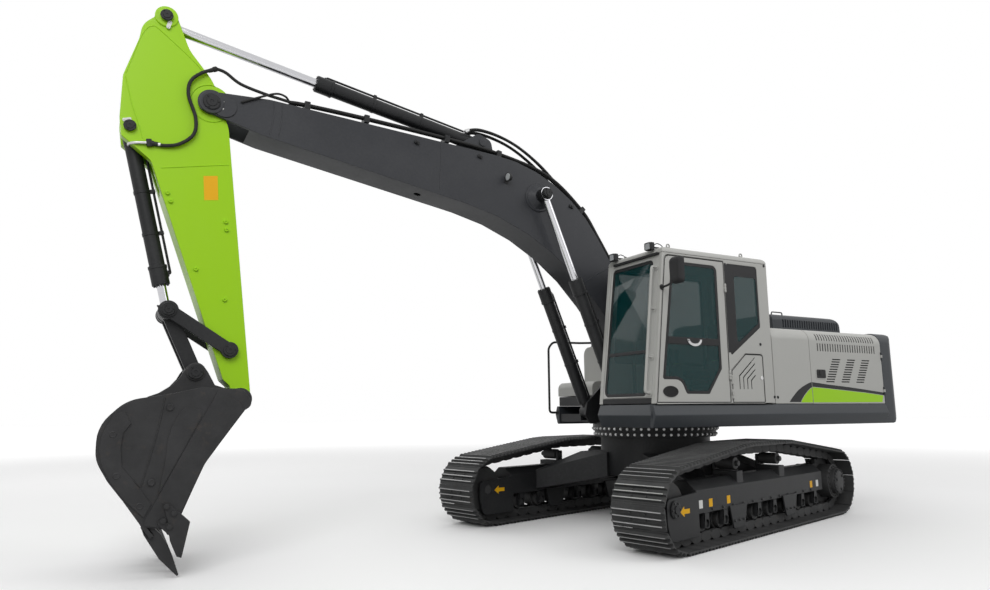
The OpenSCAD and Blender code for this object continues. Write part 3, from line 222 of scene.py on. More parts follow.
# bare and blackened steel: cloudy tone, brown spots, cast grain
steelView = {
    "cloud": 3.5, "fine": 70, "spots": 9, "rust": (0.10, 0.075, 0.055), "rustCover": 0.35, "shine": 0.25,
}


def steel(name, colour, rough=0.6, metal=0.5, grain=0.15):
    v = steelView
    s = newShader(name)
    p = s.place()
    cloud = s.noise(v["cloud"], 5, 0.65, p)
    fine = s.noise(v["fine"], 4, 0.7, p)
    base = s.mix(cloud, tone(colour, 0.65), tone(colour, 1.5, 0.02))
    rust = s.ramp(s.noise(v["spots"], 5, 0.7, p), [(0.58, (0, 0, 0)), (0.8, (1, 1, 1))])
    return s.finish(
        Base_Color=s.mix(rust * v["rustCover"], base, v["rust"]), Roughness=rough + fine * 0.25 - 0.1,
        Metallic=metal, Specular_IOR_Level=v["shine"], Normal=s.bump(fine, grain, 0.004),
    )


def chrome(name):
    s = newShader(name)
    fine = s.noise(120, 3, 0.6, s.place())
    return s.finish(
        Base_Color=s.mix(fine, (0.5, 0.5, 0.52), (0.62, 0.62, 0.64)), Metallic=1.0,
        Roughness=0.1 + fine * 0.1, Normal=s.bump(fine, 0.02, 0.001),
    )


def glass(name, tint, cover):
    s = newShader(name)
    p = s.place()
    film = s.noise(2.2, 4, 0.6, p)
    wave = s.bump(s.noise(1.1, 2, 0.5, p), 0.03, 0.01)
    return s.finish(
        Base_Color=tint, Roughness=0.02 + film * 0.04, Alpha=cover + film * 0.06,
        Specular_IOR_Level=0.35, Normal=wave,
    )


def plastic(name, colour, rough=0.55, grain=0.1, scale=180):
    s = newShader(name)
    p = s.place()
    fine = s.noise(scale, 3, 0.6, p)
    base = s.mix(s.noise(4, 3, 0.6, p), tone(colour, 0.8), tone(colour, 1.25, 0.004))
    return s.finish(
        Base_Color=base, Roughness=rough + fine * 0.2 - 0.1,
        Specular_IOR_Level=0.2, Normal=s.bump(fine, grain, 0.002),
    )


# after the colour, paint has roughness, dust, coat; steel roughness, metal, grain;
# plastic roughness, grain, its scale; glass its cover
finishLooks = {
    "lime_paint": (paint, (0.325, 0.62, 0.004), 0.36, 0.12, 0.06),
    "boom_grey": (paint, (0.029, 0.0305, 0.035), 0.45, 0.3, 0.05),
    "panel_grey": (paint, (0.425, 0.425, 0.405), 0.45, 0.25, 0.08),
    "slate_paint": (paint, (0.03, 0.0345, 0.04), 0.42, 0.3, 0.08),
    "black_paint": (paint, (0.01, 0.0105, 0.0115), 0.48, 0.3, 0.04),
    "track_steel": (steel, (0.045, 0.0455, 0.046)),
    "worn_steel": (steel, (0.34, 0.34, 0.34), 0.4, 0.7, 0.05),
    "bucket_steel": (steel, (0.022, 0.022, 0.023), 0.55, 0.3, 0.1),
    "rod_chrome": (chrome,),
    "window_glass": (glass, (0.004, 0.045, 0.047), 0.52),
    "hose_rubber": (plastic, (0.018, 0.018, 0.018), 0.6, 0.15, 90),
    "seat_cloth": (plastic, (0.03, 0.03, 0.032), 0.9, 0.4, 400),
    "dark_plastic": (plastic, (0.02, 0.02, 0.021)),
    # near black, for the painted shade behind the door and hatch slots
    "deep_black": (plastic, (0.004, 0.004, 0.004), 0.8, 0.05),
    "cab_plastic": (plastic, (0.12, 0.13, 0.125), 0.6, 0.12, 220),
    "bright_metal": (steel, (0.5, 0.5, 0.5), 0.35, 0.9, 0.05),
    "clear_lens": (glass, (0.5, 0.52, 0.53), 0.75),
    "yellow_paint": (paint, (0.8, 0.42, 0.004), 0.45, 0.15, 0.0),
    "white_paint": (paint, (0.72, 0.72, 0.7), 0.4, 0.2, 0.2),
}
finishes = {name: make(name, *look) for name, (make, *look) in finishLooks.items()}
# the record's slot for each finish that isn't one itself
slotOf = {p["node"]: p["material_slot"] for p in frame["record"]["subparts"]}
for name, obj in nodes.items():
    obj.data.materials.clear()
    obj.data.materials.append(finishes[slotOf[name]])
print("materials set")

# studio: pale floor, bright surround, soft lamps given as place, size and watts
studio = {
    "floor": 0.95, "half": 80, "bounce": 0.25, "fade": 0.4, "fadeReach": 900, "ambient": 0.62,
    "aim": (0.5, 0, 1.5), "lamps": [((9, 12, 12), 10, 1300), ((-9, 9, 10), 8, 350), ((4, -10, 9), 8, 200)],
}


def seenRays(s):
    # 1 for what the camera sees, also in glass and metal
    camera, through, gloss = (
        s.source("ShaderNodeLightPath", f"Is {kind} Ray") for kind in ("Camera", "Transmission", "Glossy")
    )
    return camera.math("MAXIMUM", through).math("MAXIMUM", gloss)


def makeFloor(v):
    h = v["half"]
    mesh = bpy.data.meshes.new("floor")
    mesh.from_pydata([(-h, -h, 0), (h, -h, 0), (h, h, 0), (-h, h, 0)], [], [(0, 1, 2, 3)])
    floor = newObject("floor", mesh)
    s = newShader("pale_floor")
    p = s.place()
    x, y, z = s.node("ShaderNodeSeparateXYZ", {}, {0: p})
    far = s.ramp((x * x + y * y) / v["fadeReach"], [(0.08, (0, 0, 0)), (0.6, (v["fade"],) * 3)])
    base = s.mix(s.noise(0.6, 3, 0.5, p), (v["floor"] * 0.98,) * 3, (v["floor"],) * 3)
    pale = s.surface(Base_Color=base, Roughness=0.7, Emission_Color=far, Emission_Strength=1.0)
    # the light that the floor throws up on the machine is weaker than what is seen of it
    dim = s.node("ShaderNodeBsdfDiffuse", {}, {0: (v["bounce"],) * 3})[0]
    s.show(s.node("ShaderNodeMixShader", {}, {0: seenRays(s), 1: dim, 2: pale})[0])
    mesh.materials.append(s.owner)


def makeSurround(v):
    world = bpy.data.worlds.new("surround")
    bpy.context.scene.world = world
    s = Shader(world, "ShaderNodeOutputWorld")
    near, far = (
        s.node("ShaderNodeBackground", {}, {0: (1, 1, 1), 1: strength})[0] for strength in (v["ambient"], 1.0)
    )
    s.show(s.node("ShaderNodeMixShader", {}, {0: seenRays(s), 1: near, 2: far})[0])


def makeSoftboxes(v):
    for i, (at, size, power) in enumerate(v["lamps"]):
        lamp = bpy.data.lights.new(f"softbox{i}", "AREA")
        lamp.size, lamp.energy = size, power
        box = newObject(f"softbox{i}", lamp)
        box.location = at
        box.rotation_euler = (Vector(v["aim"]) - Vector(at)).to_track_quat("-Z", "Y").to_euler()


makeFloor(studio)
makeSurround(studio)
makeSoftboxes(studio)
bpy.context.scene.view_settings.view_transform = "Standard"
print("studio set")

# frames of the bodies at rest, in which the pieces below are drawn
restView = {
    "trackTurn": 16, "boomFoot": (0.2, 0, 2.0), "boomRise": -23.78, "boomLength": 5.89,
    "armFold": 121.85, "armLength": 2.917,
}


def turnedBy(degrees, axis):
    return Matrix.Rotation(math.radians(degrees), 4, axis)


upperAt = Matrix.Translation((swingX, 0, 0))
tracksAt = upperAt @ turnedBy(restView["trackTurn"], "Z")
boomAt = upperAt @ Matrix.Translation(restView["boomFoot"]) @ turnedBy(restView["boomRise"], "Y")
armAt = boomAt @ Matrix.Translation((restView["boomLength"], 0, 0)) @ turnedBy(restView["armFold"], "Y")
bucketAt = armAt @ Matrix.Translation((restView["armLength"], 0, 0))


def meshFrom(name, bm):
    mesh = bpy.data.meshes.new(name)
    bm.to_mesh(mesh)
    bm.free()
    return mesh


def evaluated(obj):
    bpy.context.view_layer.update()
    return bpy.data.meshes.new_from_object(obj.evaluated_get(bpy.context.evaluated_depsgraph_get()))


def addPiece(name, bm, body, finish, at=Matrix(), smooth=None):
    bmesh.ops.recalc_face_normals(bm, faces=bm.faces)
    mesh = meshFrom(name, bm)
    mesh.transform(at)
    return addMesh(name, mesh, body, finish, smooth)


def addMesh(name, mesh, body, finish, smooth=None):
    obj = newObject(name, mesh)
    mesh.materials.clear()
    mesh.materials.append(finishes[finish])
    if smooth is not None:
        mesh.shade_smooth()
        mesh.set_sharp_from_angle(angle=math.radians(smooth))
        even = obj.modifiers.new("even", "WEIGHTED_NORMAL")
        even.keep_sharp = True
        obj.data = evaluated(obj)
        obj.data.name = name
        obj.modifiers.clear()
    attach(obj, body)
    return obj


def merge(bm, part):
    mesh = meshFrom("part", part)
    bm.from_mesh(mesh)
    bpy.data.meshes.remove(mesh)


def mergeTurned(bm, part, at=(0, 0, 0)):
    # a part drawn in x and z, turned a quarter about z so that it faces along x
    bmesh.ops.rotate(part, cent=(0, 0, 0), matrix=turnedBy(90, "Z").to_3x3(), verts=part.verts)
    bmesh.ops.translate(part, vec=at, verts=part.verts)
    merge(bm, part)


def roundEdges(bm, edges, width):
    bmesh.ops.bevel(bm, geom=edges, offset=width, segments=2, profile=0.6, affect="EDGES")


def span(s, a, b):
    # the stretch from a to b on side s, its lower end first
    return sorted((s * a, s * b))


def shifted(o, points):
    return [o + Vector(p) for p in points]


def circle(count, start=0.0):
    # directions round a full turn, as cosine and sine
    turns = [start + 2 * math.pi * k / count for k in range(count)]
    return [(math.cos(g), math.sin(g)) for g in turns]


def arc(cx, cz, r, first, turn, steps):
    # points on a round stretch, its angles in degrees
    turns = [math.radians(first + turn * k / steps) for k in range(steps + 1)]
    return [(cx + r * math.cos(g), cz + r * math.sin(g)) for g in turns]


def addBox(bm, lo, hi, bevel=0.0, turn=None, at=(0, 0, 0)):
    lo, hi = shifted(Vector(at), (lo, hi))
    part = bmesh.new()
    bmesh.ops.create_cube(part, size=1)
    bmesh.ops.scale(part, vec=hi - lo, verts=part.verts)
    if bevel:
        roundEdges(part, part.edges[:], bevel)
    if turn is not None:
        bmesh.ops.rotate(part, cent=(0, 0, 0), matrix=turn, verts=part.verts)
    bmesh.ops.translate(part, vec=(lo + hi) / 2, verts=part.verts)
    merge(bm, part)


def skin(bm, rows, ring=False):
    # faces between closed rows of points, with end faces, or back to the first row for a ring
    count = len(rows[0])
    for a, b in zip(rows, rows[1:] + rows[:1] if ring else rows[1:]):
        for k in range(count):
            n = (k + 1) % count
            bm.faces.new((a[k], a[n], b[n], b[k]))
    if not ring:
        bm.faces.new(rows[0][::-1])
        bm.faces.new(rows[-1])


def lathe(bm, profile, centre, axis, around=32, ring=False):
    # profile is (distance along the axis, radius), closed at the ends, or back on itself for a ring
    axis = Vector(axis).normalized()
    side = axis.orthogonal().normalized()
    other = axis.cross(side)
    rows = []
    for d, r in profile:
        middle = Vector(centre) + axis * d
        rows.append([bm.verts.new(middle + (side * c + other * s) * r) for c, s in circle(around)])
    skin(bm, rows, ring)


def boltHead(bm, centre, axis, r, h):
    washer = r * 1.25
    profile = [(0, washer), (h * 0.25, washer), (h * 0.25, r), (h * 0.9, r), (h, r * 0.8)]
    lathe(bm, profile, centre, axis, 6)


def footDisc(bm, centre, axis, r, gap, rim, top):
    lathe(bm, [(gap, r), (rim, r), (top, r - 0.01)], centre, axis, 20)


def plug(bm, centre):
    lathe(bm, [(0, 0.017), (0.003, 0.017), (0.005, 0.012)], centre, (0, 1, 0), 20)


def slabPiece(bm, outline, y0, y1, bevel=0.0):
    # a flat outline in x and z, made thick from y0 to y1
    lower = [bm.verts.new((x, y0, z)) for x, z in outline]
    upper = [bm.verts.new((x, y1, z)) for x, z in outline]
    count = len(outline)
    bm.faces.new(lower)
    bm.faces.new(upper[::-1])
    for k in range(count):
        n = (k + 1) % count
        bm.faces.new((lower[k], upper[k], upper[n], lower[n]))
    if bevel:
        top = set(upper)
        roundEdges(bm, [e for e in bm.edges if all(v in top for v in e.verts)], bevel)


def mergeSlab(bm, outline, y0, y1, bevel=0.0):
    part = bmesh.new()
    slabPiece(part, outline, y0, y1, bevel)
    merge(bm, part)


def curvePoints(points, steps=6):
    # a smooth line through the points
    p = [Vector(q) for q in points]
    out = []
    for i in range(len(p) - 1):
        a, b, c, d = p[max(i - 1, 0)], p[i], p[i + 1], p[min(i + 2, len(p) - 1)]
        square, cube = 2 * a - 5 * b + 4 * c - d, 3 * b - a - 3 * c + d
        for t in (k / steps for k in range(steps)):
            out.append(0.5 * (2 * b + (c - a) * t + square * t * t + cube * t ** 3))
    return out + [p[-1]]


def bend(points, r, steps=5):
    # a line with its inner corners rounded by about r
    p = [Vector(q) for q in points]
    out = [p[0]]
    for a, b, c in zip(p, p[1:], p[2:]):
        u, w = a - b, c - b
        d = min(r, u.length * 0.45, w.length * 0.45)
        s, e = b + u.normalized() * d, b + w.normalized() * d
        for t in (k / steps for k in range(steps + 1)):
            out.append(s * (1 - t) ** 2 + b * 2 * t * (1 - t) + e * t * t)
    return out + [p[-1]]


def sweep(bm, points, r, around=12):
    # a round bar along the points
    up = None
    rows = []
    for i, q in enumerate(points):
        t = (points[min(i + 1, len(points) - 1)] - points[max(i - 1, 0)]).normalized()
        up = t.orthogonal() if up is None else up - t * up.dot(t)
        up.normalize()
        side = t.cross(up)
        rows.append([bm.verts.new(q + (up * c + side * s) * r) for c, s in circle(around)])
    skin(bm, rows)


# a Geometry Nodes tree that sets one shape on every point of a mesh, turned to the point's own angles
class GeoTree:
    def __init__(self, name, inputs):
        self.tree = bpy.data.node_groups.new(name, "GeometryNodeTree")
        face = self.tree.interface
        face.new_socket("Geometry", in_out="INPUT", socket_type="NodeSocketGeometry")
        self.ids = {}
        for label, kind in inputs:
            self.ids[label] = face.new_socket(label, in_out="INPUT", socket_type=kind).identifier
        face.new_socket("Geometry", in_out="OUTPUT", socket_type="NodeSocketGeometry")
        self.source = self.tree.nodes.new("NodeGroupInput").outputs
        self.sink = self.tree.nodes.new("NodeGroupOutput")

    def node(self, kind, inputs, settings=None):
        n = self.tree.nodes.new(kind)
        for k, v in (settings or {}).items():
            setattr(n, k, v)
        for k, v in inputs.items():
            if isinstance(v, bpy.types.NodeSocket):
                self.tree.links.new(v, n.inputs[k])
            else:
                n.inputs[k].default_value = v
        return n.outputs


def copyTree():
    t = GeoTree("copiesOnPoints", [
        ("Shape", "NodeSocketObject"), ("Size", "NodeSocketFloat"), ("Finish", "NodeSocketMaterial"),
    ])
    shape = t.node("GeometryNodeObjectInfo", {"Object": t.source["Shape"]})
    turn = t.node("GeometryNodeInputNamedAttribute", {"Name": "turn"}, {"data_type": "FLOAT_VECTOR"})
    euler = t.node("FunctionNodeEulerToRotation", {0: turn[0]})
    put = t.node("GeometryNodeInstanceOnPoints", {
        "Points": t.source["Geometry"], "Instance": shape["Geometry"],
        "Rotation": euler[0], "Scale": t.source["Size"],
    })
    real = t.node("GeometryNodeRealizeInstances", {0: put[0]})
    done = t.node("GeometryNodeSetMaterial", {"Geometry": real[0], "Material": t.source["Finish"]})
    t.tree.links.new(done[0], t.sink.inputs[0])
    return t


copies = copyTree()


def spread(name, shape, places, body, finish, at, size=1.0):
    # places is a list of (point, euler angles); shape is a bmesh drawn round the origin
    bmesh.ops.recalc_face_normals(shape, faces=shape.faces)
    model = newObject(name + "Shape", meshFrom(name + "Shape", shape))
    points = bpy.data.meshes.new(name + "Points")
    points.from_pydata([p for p, e in places], [], [])
    turn = points.attributes.new("turn", "FLOAT_VECTOR", "POINT")
    turn.data.foreach_set("vector", [c for p, e in places for c in e])
    holder = newObject(name + "Points", points)
    m = holder.modifiers.new("copies", "NODES")
    m.node_group = copies.tree
    m[copies.ids["Shape"]] = model
    m[copies.ids["Size"]] = size
    m[copies.ids["Finish"]] = finishes[finish]
    done = evaluated(holder)
    done.transform(at)
    for o in (holder, model):
        bpy.data.objects.remove(o)
    return addMesh(name, done, body, finish, 30)


def facing(axis):
    # euler angles that turn +Z to the axis
    return tuple(Vector(axis).to_track_quat("Z", "Y").to_euler())


# track chain: the loop that the links follow round idler, carriers and sprocket, each (x, z, radius)
track = {
    "pitch": 0.19, "gauge": 2.59, "shoe": 0.6, "rail": 0.05, "plate": 0.014, "grouser": 0.028, "ribs": 0.0625,
    "base": 3.82, "axle": 0.417, "wrap": 0.325, "carriers": [(0.56, 0.776, 0.134), (-0.47, 0.776, 0.134)],
}
idlerWrap, sprocketWrap = ((s * track["base"] / 2, track["axle"], track["wrap"]) for s in sides)
wraps = [idlerWrap, *track["carriers"], sprocketWrap]


def chainHinges():
    def leave(a, b):
        dx, dz = b[0] - a[0], b[1] - a[1]
        return math.atan2(dz, dx) - math.acos((a[2] - b[2]) / math.hypot(dx, dz))

    out = [leave(wraps[i], wraps[(i + 1) % 4]) for i in range(4)]
    runs = []
    for i in range(4):
        a, b, first = wraps[i], wraps[(i + 1) % 4], out[i - 1]
        turn = (out[i] - first) % (2 * math.pi)
        gain = b[2] - a[2]
        dx = b[0] - a[0] + gain * math.cos(out[i])
        dz = b[1] - a[1] + gain * math.sin(out[i])
        runs.append((a, first, turn, math.hypot(dx, dz)))
    total = sum(a[2] * t + r for a, f, t, r in runs)
    count = round(total / track["pitch"])

    def point(d):
        for i, ((x, z, r), first, turn, run) in enumerate(runs):
            bow = r * turn
            if d <= bow:
                g = first + d / r
                return x + r * math.cos(g), z + r * math.sin(g)
            d -= bow
            if d <= run or i == 3:
                c, s = math.cos(first + turn), math.sin(first + turn)
                return x + r * c - d * s, z + r * s + d * c
            d -= run

    return [point(total * i / count) for i in range(count)]


hinges = chainHinges()
linkPlaces = []
for (ax, az), (bx, bz) in zip(hinges, hinges[1:] + hinges[:1]):
    linkPlaces.append((((ax + bx) / 2, 0, (az + bz) / 2), (0, -math.atan2(bz - az, bx - ax), 0)))


def shoeShape():
    # one shoe along x, its outer side downwards, with three grousers and four bolts
    bm = bmesh.new()
    half, low, high = track["pitch"] / 2 - 0.002, -track["rail"], -track["rail"] - track["plate"]
    tip, lap = high - track["grouser"], half + 0.017
    line = [(-lap, low), (-lap, low - 0.005), (-half, low - 0.006), (-half, high + 0.004)]
    for c in (-track["ribs"], 0, track["ribs"]):
        line += [(c - 0.016, high), (c - 0.0055, tip), (c + 0.0055, tip), (c + 0.016, high)]
    line += [(lap, high + 0.003), (lap, low - 0.009), (half, low - 0.008), (half, low)]
    w = track["shoe"] / 2
    rows = []
    for y, cut in ((-w, 0.012), (-w + 0.02, 0.0), (w - 0.02, 0.0), (w, 0.012)):
        row = [(x * (1 - cut * 1.5), y, z + (cut if z < high - 0.01 else 0)) for x, z in line]
        rows.append([bm.verts.new(q) for q in row])
    skin(bm, rows)
    for x in (-0.031, 0.031):
        for y in (-0.085, 0.085):
            boltHead(bm, (x, y, high + 0.001), (0, 0, -1), 0.012, 0.012)
    return bm


def linkShape():
    # a pair of chain links, each a flat plate with two bosses, and their pin
    bm = bmesh.new()
    for y in (-0.085, 0.085):
        outline = arc(-0.078, 0.006, 0.036, 90, 180, 8) + [(-0.05, -0.0495), (0.05, -0.0495)]
        outline += arc(0.078, 0.006, 0.036, -90, 180, 8) + [(0.04, 0.049), (-0.04, 0.049)]
        slabPiece(bm, outline, y - 0.02, y + 0.02)
    pin = [(-0.108, 0.02), (-0.104, 0.026), (0.104, 0.026), (0.108, 0.02)]
    lathe(bm, pin, (-track["pitch"] / 2, 0, 0), (0, 1, 0), 12)
    return bm


def wearShape():
    # bright strips on the tips of one shoe's grousers
    bm = bmesh.new()
    tip = -track["rail"] - track["plate"] - track["grouser"]
    w = track["shoe"] / 2 - 0.025
    for c in (-track["ribs"], 0, track["ribs"]):
        addBox(bm, (c - 0.005, -w, tip - 0.0003), (c + 0.005, w, tip + 0.001))
    return bm


for side, label in zip(sides, ("left", "right")):
    here = tracksAt @ Matrix.Translation((0, side * track["gauge"] / 2, 0))
    shoes = spread(f"{label}TrackShoes", shoeShape(), linkPlaces, "undercarriage", "track_steel", here)
    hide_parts(f"track_{label}")
    links = spread(f"{label}ChainLinks", linkShape(), linkPlaces, "undercarriage", "track_steel", here)
    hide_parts(f"link_chain_{label}")
    spread(f"{label}ShoeWear", wearShape(), linkPlaces, "undercarriage", "worn_steel", here)
print("tracks made", len(linkPlaces), "links a side")

# the model's plates and castings with their edges broken, each in place of its solid
edgeWidths = {
    "cab_front": 0.012, "cab_left": 0.008, "cab_right": 0.008, "cab_rear": 0.01, "cab_roof": 0.014,
    "cab_floor": 0.006, "cab_door": 0.006, "side_hatch": 0.005, "house_panels": 0.006,
    "left_service_door": 0.0015, "right_service_door": 0.0015, "engine_hood": 0.005, "counterweight": 0.022,
    "right_tanks": 0.014, "tool_box": 0.01, "tool_box_lid": 0.007, "side_skirts": 0.008, "swing_frame": 0.005,
    "boom": 0.007, "arm": 0.007, "bucket": 0.005, "bucket_teeth": 0.008, "side_cutters": 0.008,
    "bucket_levers": 0.006, "bucket_link": 0.006, "car_body": 0.008, "track_frame_left": 0.008,
    "track_frame_right": 0.008, "boom_barrels": 0.004, "arm_barrel": 0.004, "bucket_barrel": 0.004,
    "slew_ring": 0.004, "idlers": 0.008, "sprockets": 0.006, "track_rollers": 0.006, "carrier_rollers": 0.006,
}
edgeView = {"weld": 2e-5, "flat": 0.6, "sharp": 30, "tries": (1, 0.6), "smooth": 32}  # angles in degrees
bodyOf = {n: b for b, group in frame["record"]["behaviour"]["bodies"].items() for n in group}


def camel(name):
    first, *rest = name.split("_")
    return first + "".join(w.capitalize() for w in rest)


def bevelled(node, width, joinFlats, v):
    bm = bmesh.new()
    bm.from_mesh(nodes[node].data)
    bm.transform(nodes[node].matrix_world)
    bmesh.ops.remove_doubles(bm, verts=bm.verts, dist=v["weld"])
    if joinFlats:
        bmesh.ops.dissolve_limit(bm, angle_limit=math.radians(v["flat"]), verts=bm.verts, edges=bm.edges)
    least = math.radians(v["sharp"])
    roundEdges(bm, [e for e in bm.edges if len(e.link_faces) == 2 and e.calc_face_angle(0) > least], width)
    bmesh.ops.triangulate(bm, faces=[f for f in bm.faces if len(f.verts) > 4])
    return bm


def breakEdges(node, width, v):
    # a bevel that folds over itself adds area, so the smallest of the tries is kept
    tries = [bevelled(node, width * k, joinFlats, v) for k in v["tries"] for joinFlats in (True, False)]
    areas = [sum(f.calc_area() for f in t.faces) for t in tries]
    whole = sum(f.area for f in nodes[node].data.polygons)
    pick = areas.index(min(areas[:2]))
    if areas[pick] > whole:
        pick = areas.index(min(areas))
    bm = tries.pop(pick)
    for t in tries:
        t.free()
    finish = "bucket_steel" if node in ("bucket", "bucket_teeth", "side_cutters") else slotOf[node]
    piece = addPiece(camel(node), bm, bodyOf[node], finish, smooth=v["smooth"])
    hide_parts(node)


for node, width in edgeWidths.items():
    breakEdges(node, width, edgeView)
print("edges broken on", len(edgeWidths), "pieces")


# flat outlines: corners are (x, z, radius), anticlockwise
def rounded(corners, step=10):
    out = []
    for i, c in enumerate(corners):
        p, r = Vector(c[:2]), c[2] if len(c) > 2 else 0
        if not r:
            out.append(tuple(p))
            continue
        u = (Vector(corners[i - 1][:2]) - p).normalized()
        v = (Vector(corners[(i + 1) % len(corners)][:2]) - p).normalized()
        half = math.acos(max(-1, min(1, u.dot(v)))) / 2
        m = p + (u + v).normalized() * r / math.sin(half)
        a, b = p + u * r / math.tan(half) - m, p + v * r / math.tan(half) - m
        first = math.degrees(math.atan2(a.y, a.x))
        turn = (math.degrees(math.atan2(b.y, b.x)) - first + 180) % 360 - 180
        out += arc(m.x, m.y, r, first, turn, max(1, math.ceil(abs(turn) / step - 0.01)))
    return out


def inset(corners, t):
    out = []
    for i, c in enumerate(corners):
        p = Vector(c[:2])
        u = (p - Vector(corners[i - 1][:2])).normalized()
        v = (Vector(corners[(i + 1) % len(corners)][:2]) - p).normalized()
        a, b = Vector((-u.y, u.x)), Vector((-v.y, v.x))
        q = p + (a + b) * t / (1 + a.dot(b))
        r = c[2] if len(c) > 2 else 0
        hollow = u.x * v.y - u.y * v.x < 0
        out.append((q.x, q.y, max(0.004, r + t if hollow else r - t) if r else 0))
    return out


def framePiece(bm, outer, hole, y0, y1):
    # a flat plate with a hole, made thick from y0 to y1
    part = bmesh.new()
    for line in (outer, hole):
        vs = [part.verts.new((x, y0, z)) for x, z in line]
        for a, b in zip(vs, vs[1:] + vs[:1]):
            part.edges.new((a, b))
    bmesh.ops.triangle_fill(part, use_beauty=True, use_dissolve=False, edges=part.edges[:])
    grown = bmesh.ops.extrude_face_region(part, geom=part.faces[:])["geom"]
    moved = [g for g in grown if isinstance(g, bmesh.types.BMVert)]
    bmesh.ops.translate(part, vec=(0, y1 - y0, 0), verts=moved)
    merge(bm, part)


def borderPiece(bm, corners, width, y0, y1, edge=0.001):
    framePiece(bm, rounded(inset(corners, edge)), rounded(inset(corners, width)), y0, y1)


def flat(bm, corners, y0, y1, bevel=0.0):
    mergeSlab(bm, rounded(corners), y0, y1, bevel)


def box2(x0, z0, x1, z1, r=0.0):
    return [(x0, z0, r), (x1, z0, r), (x1, z1, r), (x0, z1, r)]


# the cab's leaning front: its foot, and how far it leans back over its rise
cabFront = {"x": 1.2, "z": 1.425, "back": 0.205, "rise": 1.73}
lean = math.atan2(cabFront["back"], cabFront["rise"])
frontAt = upperAt @ Matrix((
    (0, math.cos(lean), -math.sin(lean), cabFront["x"]),
    (-1, 0, 0, 0),
    (0, math.sin(lean), math.cos(lean), cabFront["z"]),
    (0, 0, 0, 1),
))


def frontX(z):
    return cabFront["x"] - cabFront["back"] * (z - cabFront["z"]) / cabFront["rise"]


def onFront(y, z, r=0.0):
    return (-y, (z - cabFront["z"]) / math.cos(lean), r)


# cab door trim: black border of the glass with its band, oval port, pull handle
doorTrim = {
    "window": [
        (0.41, 1.53, 0.02), (0.742, 1.53, 0.04), (0.817, 1.683, 0.11), (frontX(1.683) - 0.098, 1.683, 0.025),
        (frontX(2.993) - 0.135, 2.993, 0.06), (0.204, 2.993, 0.07), (0.204, 1.81, 0.02),
    ],
    "border": 0.034, "face": 1.436, "glass": 1.4302, "band": (2.07, 2.148), "bandRear": 0.236,
    "port": (0.973, 1.554, 0.105, 0.06), "meshPitch": 0.018, "handle": (0.597, 2.128, 0.105),
}


def makeDoorBorder(v):
    bm = bmesh.new()
    pane, rear = v["glass"], v["bandRear"]
    borderPiece(bm, v["window"], v["border"], pane, pane + 0.0035)
    low, high = v["band"]
    band = [(rear, low), (frontX(low) - 0.14, low), (frontX(high) - 0.145, high), (rear, high)]
    flat(bm, band, pane + 0.0002, pane + 0.008, 0.003)
    addPiece("doorGlassBorder", bm, "cab_door", "dark_plastic", upperAt, 30)


def makeDoorPort(v):
    x, z, rx, rz = v["port"]
    face = v["face"]

    def oval(k):
        return [(x + rx * k * c, z + rz * (1 - (1 - k) * rx / rz) * s) for c, s in circle(48)]

    bm = bmesh.new()
    framePiece(bm, oval(1), oval(0.9), face + 0.0002, face + 0.006)
    slabPiece(bm, oval(0.91), face + 0.0002, face + 0.0012)
    # crossed wires, each as long as it lies inside the oval
    for k in range(-9, 10):
        for s in (-1, 1):
            inside = []
            for t in ((i / 30 - 1) * rx for i in range(61)):
                q = Vector((t, s * (t + k * v["meshPitch"]) * 0.8))
                if (q.x / (rx * 0.9)) ** 2 + (q.y / (rz * 0.85)) ** 2 < 1:
                    inside.append(Vector((x + q.x, face + 0.0022, z + q.y)))
            if len(inside) > 1:
                sweep(bm, [inside[0], inside[-1]], 0.0014, 5)
    addPiece("doorPort", bm, "cab_door", "dark_plastic", upperAt, 30)


def makeDoorHandle(v):
    x, z, r = v["handle"]
    pane = v["glass"]

    def bowl(radius, squeeze):
        return [(a, z + (b - z) * squeeze) for a, b in arc(x, z, radius, 180, 180, 24)]

    bm = bmesh.new()
    slabPiece(bm, bowl(r, 0.72), pane + 0.008, pane + 0.014, 0.002)
    addPiece("doorHandle", bm, "cab_door", "bright_metal", upperAt, 30)
    bm = bmesh.new()
    slabPiece(bm, bowl(r * 0.72, 0.62), pane + 0.0135, pane + 0.0152)
    boltHead(bm, (x + r * 0.86, pane + 0.014, z - 0.014), (0, 1, 0), 0.007, 0.004)
    addPiece("doorHandlePocket", bm, "cab_door", "dark_plastic", upperAt, 30)


makeDoorBorder(doorTrim)
makeDoorPort(doorTrim)
makeDoorHandle(doorTrim)

# quarter window behind the door: wide black border, dark pillar, plugs and the hatch's lock
quarterTrim = {
    "outer": [(0.05, 1.96, 0.02), (0.05, 3.037, 0.03), (-0.45, 3.037, 0.04), (-0.45, 2.31, 0.03)],
    "clear": [(-0.068, 2.105, 0.03), (-0.068, 2.9, 0.04), (-0.425, 2.9, 0.04), (-0.425, 2.36, 0.04)],
    "pillar": (0.0525, 2.0, 0.0865, 3.04), "glass": 1.4282, "face": 1.438,
    "plugs": [(-0.43, 2.111), (-0.573, 3.063), (-0.609, 1.499)], "lock": (-0.419, 1.4362, 1.718),
}


